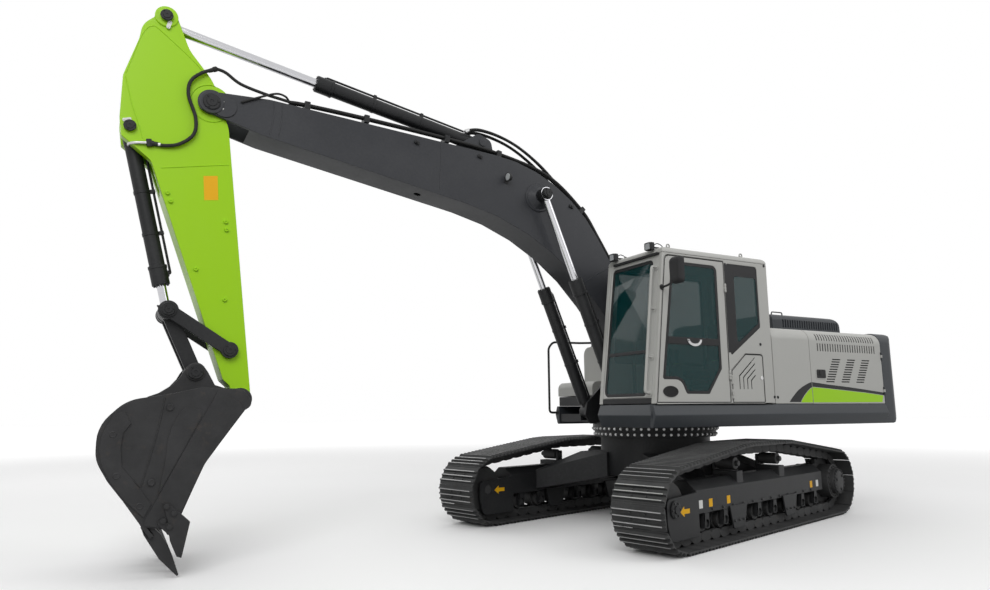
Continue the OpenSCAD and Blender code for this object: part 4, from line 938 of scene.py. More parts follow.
def makeQuarterTrim(v):
    bm = bmesh.new()
    pane, face = v["glass"], v["face"]
    framePiece(bm, rounded(inset(v["outer"], 0.001)), rounded(v["clear"]), pane, pane + 0.0035)
    flat(bm, box2(*v["pillar"], 0.004), face + 0.0002, face + 0.0014)
    for x, z in v["plugs"]:
        plug(bm, (x, face + 0.0002, z))
    addPiece("quarterBorder", bm, "upper", "dark_plastic", upperAt, 30)
    bm = bmesh.new()
    barrel = [(0, 0.022), (0.004, 0.022), (0.006, 0.018), (0.006, 0.011), (0.004, 0.009)]
    lathe(bm, barrel, v["lock"], (0, 1, 0), 24)
    addPiece("hatchLock", bm, "side_hatch", "bright_metal", upperAt, 30)


makeQuarterTrim(quarterTrim)

# windscreen: black border, split bar, rain strip under the roof
screenTrim = {
    "corners": [(0.536, 1.505, 0.08), (1.29, 1.505, 0.06), (1.29, 3.021, 0.06), (0.558, 3.021, 0.06)],
    "border": 0.036, "sunk": -0.0138,
    "split": (0.57, 1.262, 1.975, 2.012), "strip": (0.6, 1.392, 3.06, 3.084),
}


def makeScreenTrim(v):
    def across(y0, y1, z0, z1, r=0.0):
        low, high = onFront(y1, z0), onFront(y0, z1)
        return box2(low[0], low[1], high[0], high[1], r)

    bm = bmesh.new()
    sunk = v["sunk"]
    borderPiece(bm, [onFront(*c) for c in v["corners"]][::-1], v["border"], sunk, sunk + 0.004)
    flat(bm, across(*v["split"]), sunk + 0.0002, sunk + 0.009, 0.003)
    flat(bm, across(*v["strip"], 0.004), 0.0003, 0.03, 0.008)
    addPiece("windscreenBorder", bm, "upper", "dark_plastic", frontAt, 30)


makeScreenTrim(screenTrim)
print("cab trim made")

# borders of the rear and right panes
paneTrim = {
    "right": [
        (-0.485, 1.905, 0.06), (frontX(1.905) - 0.13, 1.905, 0.06),
        (frontX(3.057) - 0.13, 3.037, 0.06), (-0.485, 3.037, 0.06),
    ],
    "rear": [(0.588, 2.245, 0.06), (1.308, 2.245, 0.06), (1.308, 3.037, 0.06), (0.588, 3.037, 0.06)],
    "border": 0.03, "rightFace": 0.4706, "rearFace": 0.5992, "thick": 0.0032,
}


def makePaneTrim(v):
    bm, back = bmesh.new(), bmesh.new()
    borderPiece(bm, v["right"], v["border"], v["rightFace"], v["rightFace"] + v["thick"])
    borderPiece(back, v["rear"], v["border"], v["rearFace"], v["rearFace"] + v["thick"])
    mergeTurned(bm, back)
    addPiece("paneBorders", bm, "upper", "dark_plastic", upperAt, 30)


makePaneTrim(paneTrim)

# handrails: a pale rail on the cab's front pillar, a black one beside the tool box and the tank
railView = {
    "r": 0.016, "off": 0.07, "low": 1.535, "high": 2.92, "mid": (1.92, 2.45), "y": 1.356,
    "tank": [
        (0.5805, -1.41, 1.33), (0.71, -1.41, 1.33), (0.71, -1.41, 2.26), (0.63, -1.41, 2.345),
        (0.19, -1.38, 2.345), (0.03, -1.27, 2.345), (0.03, -1.27, 2.2805),
    ],
    "tankFeet": [((0.03, -1.27, 2.28), (0, 0, 1)), ((0.58, -1.41, 1.33), (1, 0, 0))],
}


def makeRails(v):
    outwards = Vector((math.cos(lean), 0, math.sin(lean)))

    def before(d, z):
        return Vector((frontX(z), v["y"], z)) + outwards * d

    bm = bmesh.new()
    low, high, off = v["low"], v["high"], v["off"]
    line = [before(0.0005, low), before(off, low), before(off, high), before(0.0005, high)]
    sweep(bm, bend(line, 0.04), v["r"], 16)
    for z in v["mid"]:
        sweep(bm, [before(0.0005, z), before(off, z)], 0.011, 10)
    for z in (low, high, *v["mid"]):
        footDisc(bm, before(0, z), outwards, 0.034, 0.0004, 0.006, 0.009)
    rail = addPiece("cabHandrail", bm, "upper", "panel_grey", upperAt, 40)
    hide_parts("handrails")
    bm = bmesh.new()
    sweep(bm, bend(v["tank"], 0.05), v["r"], 16)
    for at, axis in v["tankFeet"]:
        footDisc(bm, at, axis, 0.032, 0.0005, 0.006, 0.009)
    addPiece("tankHandrail", bm, "upper", "black_paint", upperAt, 40)


makeRails(railView)

# mirror on a bent arm, its glass to the rear
mirrorView = {
    "foot": (frontX(2.685) - 0.014, 1.4385, 2.685), "head": (0.085, 0.332, -0.015),
    "size": (0.08, 0.165, 0.285),
    "arm": [(0, 0, 0), (0, 0.06, 0), (0.02, 0.14, 0.004), (0.075, 0.3, 0.025), (0.085, 0.33, 0.06)],
    "shell": [(-0.5, 0.9), (-0.5, 1.0), (-0.3, 1.0), (0.1, 0.97), (0.35, 0.86), (0.5, 0.6)],
}


def makeMirror(v):
    f = Vector(v["foot"])
    sx, sy, sz = v["size"]

    def pane(wide, tall, r):
        return rounded(box2(-sy / 2 * wide, -sz / 2 * tall, sy / 2 * wide, sz / 2 * tall, r), 15)

    bm = bmesh.new()
    sweep(bm, bend(shifted(f, v["arm"]), 0.05), 0.012, 12)
    footDisc(bm, f, (0, 1, 0), 0.03, 0.0004, 0.008, 0.012)
    c = f + Vector(v["head"]) + Vector((0, 0, sz / 2))
    # the housing: a rounded shell, shallow at the rim and crowned in front
    rows = []
    for x, k in v["shell"]:
        rows.append([bm.verts.new(c + Vector((x * sx, a, b))) for a, b in pane(k, k, 0.04 * k)])
    skin(bm, rows)
    housing = addPiece("mirrorHousing", bm, "upper", "dark_plastic", upperAt, 35)
    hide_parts("side_mirror")
    bm, part = bmesh.new(), bmesh.new()
    slabPiece(part, pane(0.86, 0.88, 0.03), 0, 0.002)
    mergeTurned(bm, part, c + Vector((-sx / 2 - 0.0002, 0, 0)))
    addPiece("mirrorGlass", bm, "upper", "rod_chrome", upperAt, 35)


makeMirror(mirrorView)

# two roof lamps: foot, stem, ribbed housing, rim, fluted lens, cable
lampView = {
    "at": [(0.995, 0.608, 3.155), (0.995, 1.263, 3.155)], "fins": (6, 0.0148), "flutes": (7, 0.0118),
    "cable": [(0.005, 0.03, 0.03), (-0.03, 0.05, 0.05), (-0.07, 0.07, 0.03), (-0.09, 0.08, -0.0005)],
}


def makeLamps(v):
    body, lens = bmesh.new(), bmesh.new()
    for o in map(Vector, v["at"]):
        addBox(body, (-0.13, -0.03, 0.0005), (-0.08, 0.03, 0.013), 0.003, at=o)
        addBox(body, (-0.1, -0.012, 0.006), (0.015, 0.012, 0.022), 0.002, at=o)
        addBox(body, (0.005, -0.052, -0.028), (0.058, 0.052, 0.064), 0.012, at=o)
        count, pitch = v["fins"]
        for y in (-0.042 + k * pitch for k in range(count)):
            addBox(body, (-0.004, y, -0.015), (0.012, y + 0.006, 0.05), 0.001, at=o)
        for s in (-1, 1):
            boltHead(body, o + Vector((-0.105, s * 0.019, 0.013)), (0, 0, 1), 0.006, 0.005)
        part = bmesh.new()
        rim = rounded(box2(-0.049, -0.025, 0.049, 0.061, 0.014), 15)
        framePiece(part, rim, rounded(box2(-0.042, -0.018, 0.042, 0.054, 0.01), 15), -0.071, -0.0575)
        mergeTurned(body, part, o)
        addBox(lens, (0.0582, -0.042, -0.018), (0.064, 0.042, 0.054), 0.002, at=o)
        count, pitch = v["flutes"]
        for y in (-0.039 + k * pitch for k in range(count)):
            addBox(lens, (0.063, y, -0.016), (0.067, y + 0.006, 0.052), 0.001, at=o)
        sweep(body, curvePoints(shifted(o, v["cable"]), 5), 0.005, 8)
    lamp = addPiece("roofLamps", body, "upper", "dark_plastic", upperAt, 35)
    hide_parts("work_lamps")
    addPiece("lampLenses", lens, "upper", "clear_lens", upperAt, 35)


makeLamps(lampView)
print("rails, mirror and lamps made")

# operator's seat: two pads and a headrest on a suspension base; channels are (axis, place)
seatView = {
    "at": (-0.06, 0.948, 1.485), "voxel": 0.012, "cap": 0.02, "frames": 16, "pressure": 4,
    "channelWidth": 0.009, "channelDepth": 0.012, "folds": 7, "foldHeight": 0.031,
    "seatCushion": {
        "side": [(-0.225, 0.255, 0.03), (0.235, 0.255, 0.05), (0.235, 0.325, 0.035), (-0.225, 0.325, 0.03)],
        "width": 0.45, "lift": 0.24, "channels": [(1, -0.15), (1, 0.15), (0, 0.08)],
    },
    "seatBack": {
        "side": [(-0.235, 0.35, 0.03), (-0.14, 0.35, 0.03), (-0.235, 0.945, 0.035), (-0.315, 0.945, 0.035)],
        "width": 0.41, "lift": 0.342, "channels": [(1, -0.14), (1, 0.14), (2, 0.52)],
    },
    "seatHeadrest": {
        "side": [(-0.262, 1.13, 0.02), (-0.33, 1.13, 0.02), (-0.312, 0.985, 0.02), (-0.262, 0.985, 0.02)],
        "width": 0.25, "lift": 0.97, "channels": [],
    },
}


def makePad(name, v):
    # a plate of foam, swollen by a short cloth simulation, then sewn along its channels
    pad = v[name]
    bm = bmesh.new()
    slabPiece(bm, rounded(pad["side"]), -pad["width"] / 2, pad["width"] / 2)
    obj = newObject(name, meshFrom(name, bm))
    even = obj.modifiers.new("even", "REMESH")
    even.mode, even.voxel_size = "VOXEL", v["voxel"]
    obj.data = evaluated(obj)
    obj.modifiers.clear()
    start = [p.co.copy() for p in obj.data.vertices]
    cloth = obj.modifiers.new("swell", "CLOTH")
    cloth.settings.use_pressure = True
    cloth.settings.uniform_pressure_force = v["pressure"]
    cloth.settings.effector_weights.gravity = 0
    cloth.point_cache.frame_start, cloth.point_cache.frame_end = 1, v["frames"]
    for f in range(1, v["frames"] + 1):
        bpy.context.scene.frame_set(f)
    swollen = bpy.data.meshes.new_from_object(obj.evaluated_get(bpy.context.evaluated_depsgraph_get()))
    bpy.data.objects.remove(obj)
    bpy.context.scene.frame_set(1)
    for p, q in zip(swollen.vertices, start):
        d = p.co - q
        if d.length > v["cap"]:
            p.co = q + d.normalized() * v["cap"]
        p.co.z = max(p.co.z, pad["lift"])
    centre = sum((p.co for p in swollen.vertices), Vector()) / len(swollen.vertices)
    for axis, value in pad["channels"]:
        for p in swollen.vertices:
            k = math.exp(-((p.co[axis] - value) / v["channelWidth"]) ** 2)
            p.co += (centre - p.co).normalized() * v["channelDepth"] * k
    swollen.transform(upperAt @ Matrix.Translation(v["at"]))
    pad = addMesh(name, swollen, "upper", "seat_cloth", 60)
    return pad


def makeSeat(v):
    cushion = makePad("seatCushion", v)
    makePad("seatBack", v)
    makePad("seatHeadrest", v)
    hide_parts("operator_seat")
    bm = bmesh.new()
    o = Vector(v["at"])
    for k in range(v["folds"]):
        s, low = 0.14 + 0.014 * (k % 2), k * v["foldHeight"]
        addBox(bm, (-s, -s, low + 0.001), (s, s, low + v["foldHeight"]), 0.008, at=o)
    addBox(bm, (-0.23, -0.23, 0.219), (0.23, 0.23, 0.239), 0.006, at=o)
    for s in (-1, 1):
        sweep(bm, shifted(o, [(-0.27, s * 0.06, 0.93), (-0.288, s * 0.06, 1.03)]), 0.007, 8)
        y = s * 0.215
        addBox(bm, (-0.21, y - 0.012, 0.22), (-0.15, y + 0.012, 0.5), 0.005, at=o)
    addPiece("seatBase", bm, "upper", "dark_plastic", upperAt, 35)


makeSeat(seatView)

# consoles with joysticks, travel pedals and levers, monitor
consoleView = {
    "seat": seatView["at"], "out": 0.3197, "half": 0.053, "stick": 0.2,
    "side": [(-0.2, 0, 0.01), (0.16, 0, 0.02), (0.26, 0.33, 0.05), (0.24, 0.43, 0.04), (-0.2, 0.4, 0.05)],
    "grip": [
        (0, 0.036), (0.012, 0.034), (0.03, 0.022), (0.055, 0.013), (0.075, 0.014),
        (0.1, 0.02), (0.14, 0.024), (0.165, 0.023), (0.18, 0.014),
    ],
    "pedals": (0.62, 0.948, 1.485), "pedalOut": 0.09, "pedalTilt": -8, "ribs": (6, 0.024),
    "lever": [(0.01, 0, 0.03), (0.0, 0, 0.3), (-0.02, 0, 0.56)],
    "monitor": (0.76, 0.588, 1.485), "stem": [(0.01, 0, 0), (0.01, 0, 0.5), (-0.03, 0.03, 0.74)],
}


def makeConsole(v, s, pale, dark, trim):
    o = Vector(v["seat"]) + Vector((0, s * v["out"], 0))
    part = bmesh.new()
    slabPiece(part, rounded(v["side"]), -v["half"], v["half"], 0.008)
    bmesh.ops.translate(part, vec=o, verts=part.verts)
    merge(pale, part)
    addBox(dark, (-0.18, -0.045, 0.405), (0.08, 0.045, 0.445), 0.015, at=o)
    lathe(dark, v["grip"], o + Vector((v["stick"], 0, 0.427)), (-0.08, 0, 1), 20)
    collar = [(0, 0.037), (0.003, 0.04), (0.006, 0.037)]
    lathe(trim, collar, o + Vector((v["stick"], 0, 0.428)), (0, 0, 1), 24)
    for k in range(4):
        knob = o + Vector((0.105 + 0.02 * (k % 2), -0.018 + 0.036 * (k // 2), 0.4235))
        lathe(trim, [(0, 0.007), (0.004, 0.007), (0.006, 0.005)], knob, (0, 0, 1), 12)


def makePedal(v, s, dark):
    q = Vector(v["pedals"]) + Vector((0, s * v["pedalOut"], 0))
    addBox(dark, (-0.085, -0.05, 0.001), (0.085, 0.05, 0.018), 0.004, at=q)
    tilt = turnedBy(v["pedalTilt"], "Y").to_3x3()
    addBox(dark, (-0.08, -0.045, 0.02), (0.085, 0.045, 0.034), 0.004, tilt, q)
    count, pitch = v["ribs"]
    for x in (-0.06 + k * pitch for k in range(count)):
        addBox(dark, (x, -0.04, 0.028), (x + 0.01, 0.04, 0.042), 0.002, at=q)
    sweep(dark, bend(shifted(q, v["lever"]), 0.1), 0.01, 10)
    knob = [(0, 0.012), (0.02, 0.019), (0.06, 0.019), (0.075, 0.01)]
    lathe(dark, knob, q + Vector((-0.018, 0, 0.5)), (-0.06, 0, 1), 16)


def makeConsoles(v):
    pale, dark, trim = bmesh.new(), bmesh.new(), bmesh.new()
    for s in (-1, 1):
        makeConsole(v, s, pale, dark, trim)
        makePedal(v, s, dark)
    m = Vector(v["monitor"])
    sweep(dark, bend(shifted(m, v["stem"]), 0.15), 0.022, 14)
    addBox(dark, (-0.058, -0.055, 0.7), (-0.024, 0.145, 0.878), 0.01, at=m)
    addBox(trim, (-0.0595, -0.038, 0.735), (-0.0575, 0.128, 0.862), 0.0005, at=m)
    box = addPiece("consoleBoxes", pale, "upper", "cab_plastic", upperAt, 35)
    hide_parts("control_consoles")
    addPiece("consoleControls", dark, "upper", "dark_plastic", upperAt, 35)
    addPiece("consoleTrim", trim, "upper", "lime_paint", upperAt, 35)


makeConsoles(consoleView)
print("seat and consoles made")

# engine house: stripe plates lying on the panel's face, plug, latches, hood handles
houseTrim = {
    "face": 1.4152, "thick": 0.0012, "plug": (-0.69, 1.497), "latchFace": 1.4151,
    "wedgeTop": [
        (-0.882, 1.441), (-0.935, 1.492), (-0.99, 1.538), (-1.05, 1.583),
        (-1.121, 1.621), (-1.2, 1.654), (-1.274, 1.678), (-1.297, 1.682),
    ],
    "wedgeFoot": [
        (-1.297, 1.622), (-1.274, 1.612), (-1.215, 1.576), (-1.156, 1.528), (-1.11, 1.482), (-1.078, 1.441),
    ],
    "frontEnd": [(-1.297, 1.4365), (-1.297, 1.612)],
    "band": [
        (-1.309, 1.683), (-1.32, 1.681), (-1.6, 1.656), (-1.97, 1.629), (-2.3, 1.6), (-2.686, 1.563),
        (-2.686, 1.529), (-2.3, 1.564), (-1.964, 1.586), (-1.6, 1.61), (-1.338, 1.626), (-1.309, 1.626),
    ],
    "rear": [
        (-1.309, 1.62), (-1.338, 1.619), (-1.6, 1.604), (-1.964, 1.58),
        (-2.3, 1.558), (-2.67, 1.524), (-2.64, 1.44), (-1.309, 1.4365),
    ],
    "handle": [(-1.324, 2.588), (-1.33, 2.622), (-1.52, 2.622), (-1.528, 2.588)], "handleOut": 0.86,
}


def makeStripes(v):
    front = [(x - 0.006, z - 0.005) for x, z in v["wedgeFoot"][1:]] + v["frontEnd"]
    for name, line, body, finish in (
        ("stripeWedge", v["wedgeTop"] + v["wedgeFoot"], "upper", "black_paint"),
        ("stripeFront", front, "upper", "lime_paint"),
        ("stripeBand", v["band"], "left_service_door", "black_paint"),
        ("stripeRear", v["rear"], "left_service_door", "lime_paint"),
    ):
        bm = bmesh.new()
        slabPiece(bm, line, v["face"], v["face"] + v["thick"])
        if name == "stripeWedge":
            x, z = v["plug"]
            plug(bm, (x, v["face"], z))
        addPiece(name, bm, body, finish, upperAt)


def makeLatches(v):
    a = v["latchFace"]
    for side, door in zip(sides, ("left", "right")):
        bezel, cup = bmesh.new(), bmesh.new()
        flat(bezel, box2(-1.578, 1.722, -1.388, 1.85, 0.022), a, a + 0.004, 0.0015)
        flat(cup, box2(-1.566, 1.733, -1.4, 1.839, 0.016), a + 0.0038, a + 0.006, 0.001)
        flat(cup, box2(-1.552, 1.762, -1.452, 1.826, 0.012), a + 0.0058, a + 0.012, 0.004)
        key = [(0, 0.013), (0.005, 0.013), (0.006, 0.01)]
        lathe(cup, key, (-1.425, a + 0.0058, 1.786), (0, 1, 0), 20)
        for part, label, finish in ((bezel, "LatchBezel", "panel_grey"), (cup, "Latch", "dark_plastic")):
            bmesh.ops.scale(part, vec=(1, side, 1), verts=part.verts)
            addPiece(door + label, part, f"{door}_service_door", finish, upperAt, 35)


def makeHoodHandles(v):
    bm = bmesh.new()
    for s in sides:
        sweep(bm, bend([(x, s * v["handleOut"], z) for x, z in v["handle"]], 0.022), 0.008, 10)
    addPiece("hoodHandles", bm, "engine_hood", "black_paint", upperAt, 40)


makeStripes(houseTrim)
makeLatches(houseTrim)
makeHoodHandles(houseTrim)

# a skin just under the hood's top and rounded edges, where the solid's hollow breaks through them
hoodSkin = {
    "rear": -2.57, "front": -1.24, "half": 0.94, "foot": 2.346, "top": 2.59, "rearLean": 0.015,
    "frontRound": 0.06, "rearRound": 0.14, "sideRound": 0.09, "gap": 0.0008, "slotTop": 2.523, "thick": 0.004,
}


def makeHoodSkin(v):
    g, foot, top = v["gap"], v["foot"], v["top"] - v["gap"]
    rear, front, half = v["rear"] + g, v["front"] - g, v["half"] - g
    along = rounded([
        (rear, foot), (front, foot), (front, top, v["frontRound"] - g),
        (v["rear"] + v["rearLean"] + g, top, v["rearRound"] - g),
    ], 4)[2:]
    r = v["sideRound"] - g
    across = rounded([(-half, foot), (half, foot), (half, top, r), (-half, top, r)], 4)[2:]
    across = [(y, z) for y, z in across if z > v["slotTop"]]
    bm = bmesh.new()
    rows = [[bm.verts.new((x, y, min(zx, zy))) for y, zy in across] for x, zx in along]
    for a, b in zip(rows, rows[1:]):
        for k in range(len(across) - 1):
            bm.faces.new((a[k], b[k], b[k + 1], a[k + 1]))
    bmesh.ops.recalc_face_normals(bm, faces=bm.faces)
    if sum(f.normal.z * f.calc_area() for f in bm.faces) < 0:
        bmesh.ops.reverse_faces(bm, faces=bm.faces)
    outer = bm.faces[:]
    rims = [e for e in bm.edges if len(e.link_faces) == 1]
    low = {q: bm.verts.new(q.co - q.normal * v["thick"]) for q in bm.verts[:]}
    for f in outer:
        bm.faces.new([low[q] for q in reversed(f.verts[:])])
    for a, b in (e.verts for e in rims):
        bm.faces.new((a, b, low[b], low[a]))
    addPiece("hoodSkin", bm, "engine_hood", "slate_paint", upperAt, 30)


makeHoodSkin(hoodSkin)
print("house trim made")


# pin caps with their bolts, and the keeper plates beside them; (x, z) and y of the face, on both sides
def capPiece(name, pins, y, body, at, r, bolts=3):
    bm = bmesh.new()
    profile = [
        (0.0002, r), (0.008, r), (0.014, r * 0.92), (0.014, r * 0.62),
        (0.02, r * 0.58), (0.02, r * 0.2), (0.016, r * 0.16),
    ]
    for x, z in pins:
        for s in sides:
            lathe(bm, profile, (x, s * y, z), (0, s, 0), 32)
            for c, n in circle(bolts, math.pi / 2 / bolts):
                at2 = (x + r * 0.77 * c, s * (y + 0.0138), z + r * 0.77 * n)
                boltHead(bm, at2, (0, s, 0), r * 0.1, 0.009)
    addPiece(name, bm, body, "black_paint", at, 30)


def keeperPiece(name, x, z, y, length, width, turn, body, at):
    bm = bmesh.new()
    c, n = math.cos(math.radians(turn)), math.sin(math.radians(turn))
    plate = rounded(box2(-length / 2, -width / 2, length / 2, width / 2, width * 0.3), 20)
    line = [(x + a * c - b * n, z + a * n + b * c) for a, b in plate]
    for s in sides:
        slabPiece(bm, line, *span(s, y, y + 0.008))
        for k in (-length * 0.3, length * 0.3):
            boltHead(bm, (x + k * c, s * (y + 0.0079), z + k * n), (0, s, 0), width * 0.2, 0.007)
    addPiece(name, bm, body, "white_paint", at, 30)


# pins in the frame of the body that carries them
boomTip, boomRodPin, armBasePin = (restView["boomLength"], 0), (2.276, 1.092), (3.173, 1.366)
armRodPin, bucketBasePin, leverPin, leverEnd = (-0.862, 0.332), (0.262, 0.735), (2.445, 0.053), (2.019, 0.549)
bucketPins = [(0, 0), (-0.302, 0.369)]
capPiece("boomTipCaps", [boomTip], 0.2362, "boom", boomAt, 0.082)
keeperPiece("boomTipKeepers", 5.785, 0.032, 0.2155, 0.125, 0.036, 67, "boom", boomAt)
capPiece("boomRodCaps", [boomRodPin], 0.4452, "boom_rods", boomAt, 0.058)
capPiece("armRodCaps", [armRodPin], 0.2162, "arm", armAt, 0.058)
keeperPiece("armRodKeepers", -0.775, 0.318, 0.1945, 0.085, 0.036, 20, "arm", armAt)
capPiece("bucketBaseCaps", [bucketBasePin], 0.2002, "arm", armAt, 0.055)
keeperPiece("bucketBaseKeepers", 0.2, 0.755, 0.1803, 0.075, 0.032, 80, "arm", armAt)
capPiece("leverPinCaps", [leverPin], 0.2322, "bucket_levers", armAt, 0.06)
capPiece("leverEndCaps", [leverEnd], 0.2522, "bucket_levers", armAt, 0.055)
capPiece("bucketPinCaps", bucketPins, 0.2542, "bucket", bucketAt, 0.068)

# weld beads along the seams of the plates, in x and z on both faces
boomFace, armFace, bucketFace = 0.215, 0.18, 0.6  # half widths
weldLines = {
    "boom": [
        [(5.4, 0.36), (5.33, 0.2), (5.28, 0.02)], [(5.32, 0.39), (5.25, 0.22), (5.2, 0.055)],
        [(3.66, 1.03), (3.55, 0.78), (3.44, 0.5)], [(1.0, 0.82), (1.16, 0.62), (1.3, 0.42)],
    ],
    "arm": [
        [(0.375, 0.637), (0.261, 0.653), (0.033, 0.703), (-0.225, 0.735)],
        [
            (-0.255, 0.731), (-0.603, 0.589), (-0.719, 0.52), (-0.751, 0.475),
            (-0.741, 0.424), (-0.596, 0.278), (-0.439, 0.131), (-0.315, 0.032),
        ],
        [(0.66, 0.5), (0.64, 0.2), (0.62, -0.11)],
    ],
    "bucket": [
        [(-0.101, 0.662), (0.183, 0.743), (0.607, 0.9)], [(0.607, 0.905), (0.5, 0.98), (0.401, 1.033)],
    ],
}


def beads(body, y, at, finish, r):
    bm = bmesh.new()
    for line in weldLines[body]:
        for s in sides:
            sweep(bm, curvePoints([(x, s * y, z) for x, z in line], 5), r, 8)
    addPiece(body + "Welds", bm, body, finish, at, 50)


beads("boom", boomFace - 0.0002, boomAt, "boom_grey", 0.005)
beads("arm", armFace - 0.0002, armAt, "lime_paint", 0.005)

# small bosses and the blank plate on the arm
armTrim = {
    "plate": [(0.736, 0.135), (0.734, 0.005), (0.976, 0.02), (0.976, 0.148)],
    "bosses": [(0.905, 0.465), (0.985, 0.445), (1.196, -0.03), (1.276, -0.03), (1.957, 0.05), (1.647, 0.28)],
    "boss": [(0.0002, 0.022), (0.014, 0.02), (0.018, 0.016), (0.018, 0.008), (0.012, 0.007)],
}


def makeArmTrim(v):
    plates, bosses = bmesh.new(), bmesh.new()
    for s in sides:
        slabPiece(plates, v["plate"], *span(s, armFace + 0.0002, armFace + 0.0012))
        for x, z in v["bosses"]:
            lathe(bosses, v["boss"], (x, s * armFace, z), (0, s, 0), 20)
    addPiece("armPlates", plates, "arm", "yellow_paint", armAt)
    addPiece("armBosses", bosses, "arm", "lime_paint", armAt, 35)


makeArmTrim(armTrim)

# bucket: raised wear plates given as thickness and outline, bolts of the side cutters, dimples
bucketTrim = {
    "rim": (0.01, [
        (-0.1, 0.235), (-0.055, 0.17), (0.02, 0.06), (0.098, 0.035), (0.331, 0.245), (0.505, 0.402),
        (0.668, 0.498), (0.89, 0.625), (0.985, 0.722), (0.925, 0.9), (0.88, 0.892),
    ]),
    "panel": (0.007, [
        (0.101, 0.386), (0.035, 0.39), (0.002, 0.513), (0.042, 0.556),
        (0.139, 0.622), (0.258, 0.671), (0.441, 0.704), (0.7, 0.781),
    ]),
    "heel": (0.012, [
        (-0.021, 1.054), (-0.03, 0.971), (0.08, 0.932), (0.141, 1.001), (0.26, 1.028), (0.422, 1.031),
        (0.607, 0.916), (0.757, 0.834), (0.86, 0.9), (0.69, 1.028), (0.521, 1.122), (0.393, 1.17),
        (0.252, 1.18), (0.135, 1.15),
    ]),
    "dimples": [(-0.012, 0.63), (0.146, 1.071), (0.485, 1.071), (0.585, 0.821), (0.759, 0.921)],
    "dimple": [(0.0002, 0.03), (0.014, 0.028), (0.017, 0.022), (0.013, 0.015)],
    "bolts": [(0.8, 0.722), (0.866, 0.672), (0.911, 0.76), (0.968, 0.715)], "cutterFace": 0.6304,
}


def makeBucketTrim(v):
    bm = bmesh.new()
    for s in sides:
        for thick, line in (v["rim"], v["panel"], v["heel"]):
            mergeSlab(bm, line[::s], s * (bucketFace + 0.0002), s * (bucketFace + thick), 0.004)
        for x, z in v["dimples"]:
            lathe(bm, v["dimple"], (x, s * bucketFace, z), (0, s, 0), 24)
        for x, z in v["bolts"]:
            boltHead(bm, (x, s * v["cutterFace"], z), (0, s, 0), 0.024, 0.02)
    addPiece("bucketPlates", bm, "bucket", "bucket_steel", bucketAt, 30)


makeBucketTrim(bucketTrim)
beads("bucket", bucketFace, bucketAt, "bucket_steel", 0.006)
print("caps, keepers, welds and bucket plates made")

# boom: two smooth pipes a side, held by clips at some of the route's points
pipeView = {
    "route": [
        (0.9, 0.835), (1.3, 1.1), (1.65, 1.3), (2.25, 1.44), (2.95, 1.32),
        (3.6, 1.11), (4.5, 0.775), (5.1, 0.535), (5.27, 0.455),
    ],
    "lift": 0.01, "y": 0.175, "pitch": 0.05, "r": (0.018, 0.014), "clips": (2, 4, 5, 6, 7),
}


def makeBoomPipes(v):
    pipes, clips = bmesh.new(), bmesh.new()
    for s in sides:
        route = [Vector((x, s * v["y"], z + v["lift"])) for x, z in v["route"]]
        sweep(pipes, curvePoints(route, 8), v["r"][0], 12)
        inner = Vector((0, -s * v["pitch"], 0.004))
        sweep(pipes, curvePoints([q + inner for q in route], 8), v["r"][1], 12)
        for i in v["clips"]:
            d = route[i + 1] - route[i - 1]
            turn = Matrix.Rotation(-math.atan2(d.z, d.x), 3, "Y")
            middle = route[i] + Vector((0, -s * v["pitch"] / 2, 0))
            addBox(clips, (-0.03, -0.06, -0.06), (0.03, 0.06, 0.028), 0.006, turn, middle)
            up = turn @ Vector((0, 0, 1))
            boltHead(clips, middle + up * 0.028, up, 0.013, 0.011)
    pipes = addPiece("boomPipes", pipes, "boom", "hose_rubber", boomAt, 40)
    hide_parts("boom_pipes")
    addPiece("boomClips", clips, "boom", "black_paint", boomAt, 30)


makeBoomPipes(pipeView)

# work lamp on the boom's left side
boomLamp = {
    "at": (2.738, 1.067), "aim": (1, 0.15, -0.5),
    "bowl": [(0, 0.02), (0.012, 0.04), (0.05, 0.052), (0.058, 0.052), (0.058, 0.046), (0.054, 0.045)],
    "lens": [(0.0545, 0.0445), (0.058, 0.04), (0.06, 0.02)],
}


def makeBoomLamp(v):
    x, z = v["at"]
    bm, lens = bmesh.new(), bmesh.new()
    addBox(bm, (x - 0.03, boomFace + 0.0003, z - 0.05), (x + 0.03, 0.222, z + 0.05), 0.002)
    addBox(bm, (x - 0.012, 0.22, z - 0.015), (x + 0.012, 0.27, z + 0.002), 0.002)
    for part, profile in ((bm, v["bowl"]), (lens, v["lens"])):
        lathe(part, profile, (x - 0.02, 0.27, z + 0.03), v["aim"], 28)
    addPiece("boomLamp", bm, "boom", "dark_plastic", boomAt, 35)
    addPiece("boomLampLens", lens, "boom", "clear_lens", boomAt, 35)


makeBoomLamp(boomLamp)

# small brackets bolted to the boom's sides
sideClips = {"at": [(3.9, 0.84), (3.16, 1.13), (1.82, 1.24)], "half": (0.03, 0.018), "out": 0.235}


def makeSideClips(v):
    bm = bmesh.new()
    dx, dz = v["half"]
    for x, z in v["at"]:
        for s in sides:
            y0, y1 = span(s, boomFace + 0.0003, v["out"])
            addBox(bm, (x - dx, y0, z - dz), (x + dx, y1, z + dz), 0.004)
            boltHead(bm, (x, s * (v["out"] - 0.0005), z), (0, s, 0), 0.011, 0.01)
    addPiece("boomSideClips", bm, "boom", "black_paint", boomAt, 30)


makeSideClips(sideClips)
print("boom pipes and lamp made")

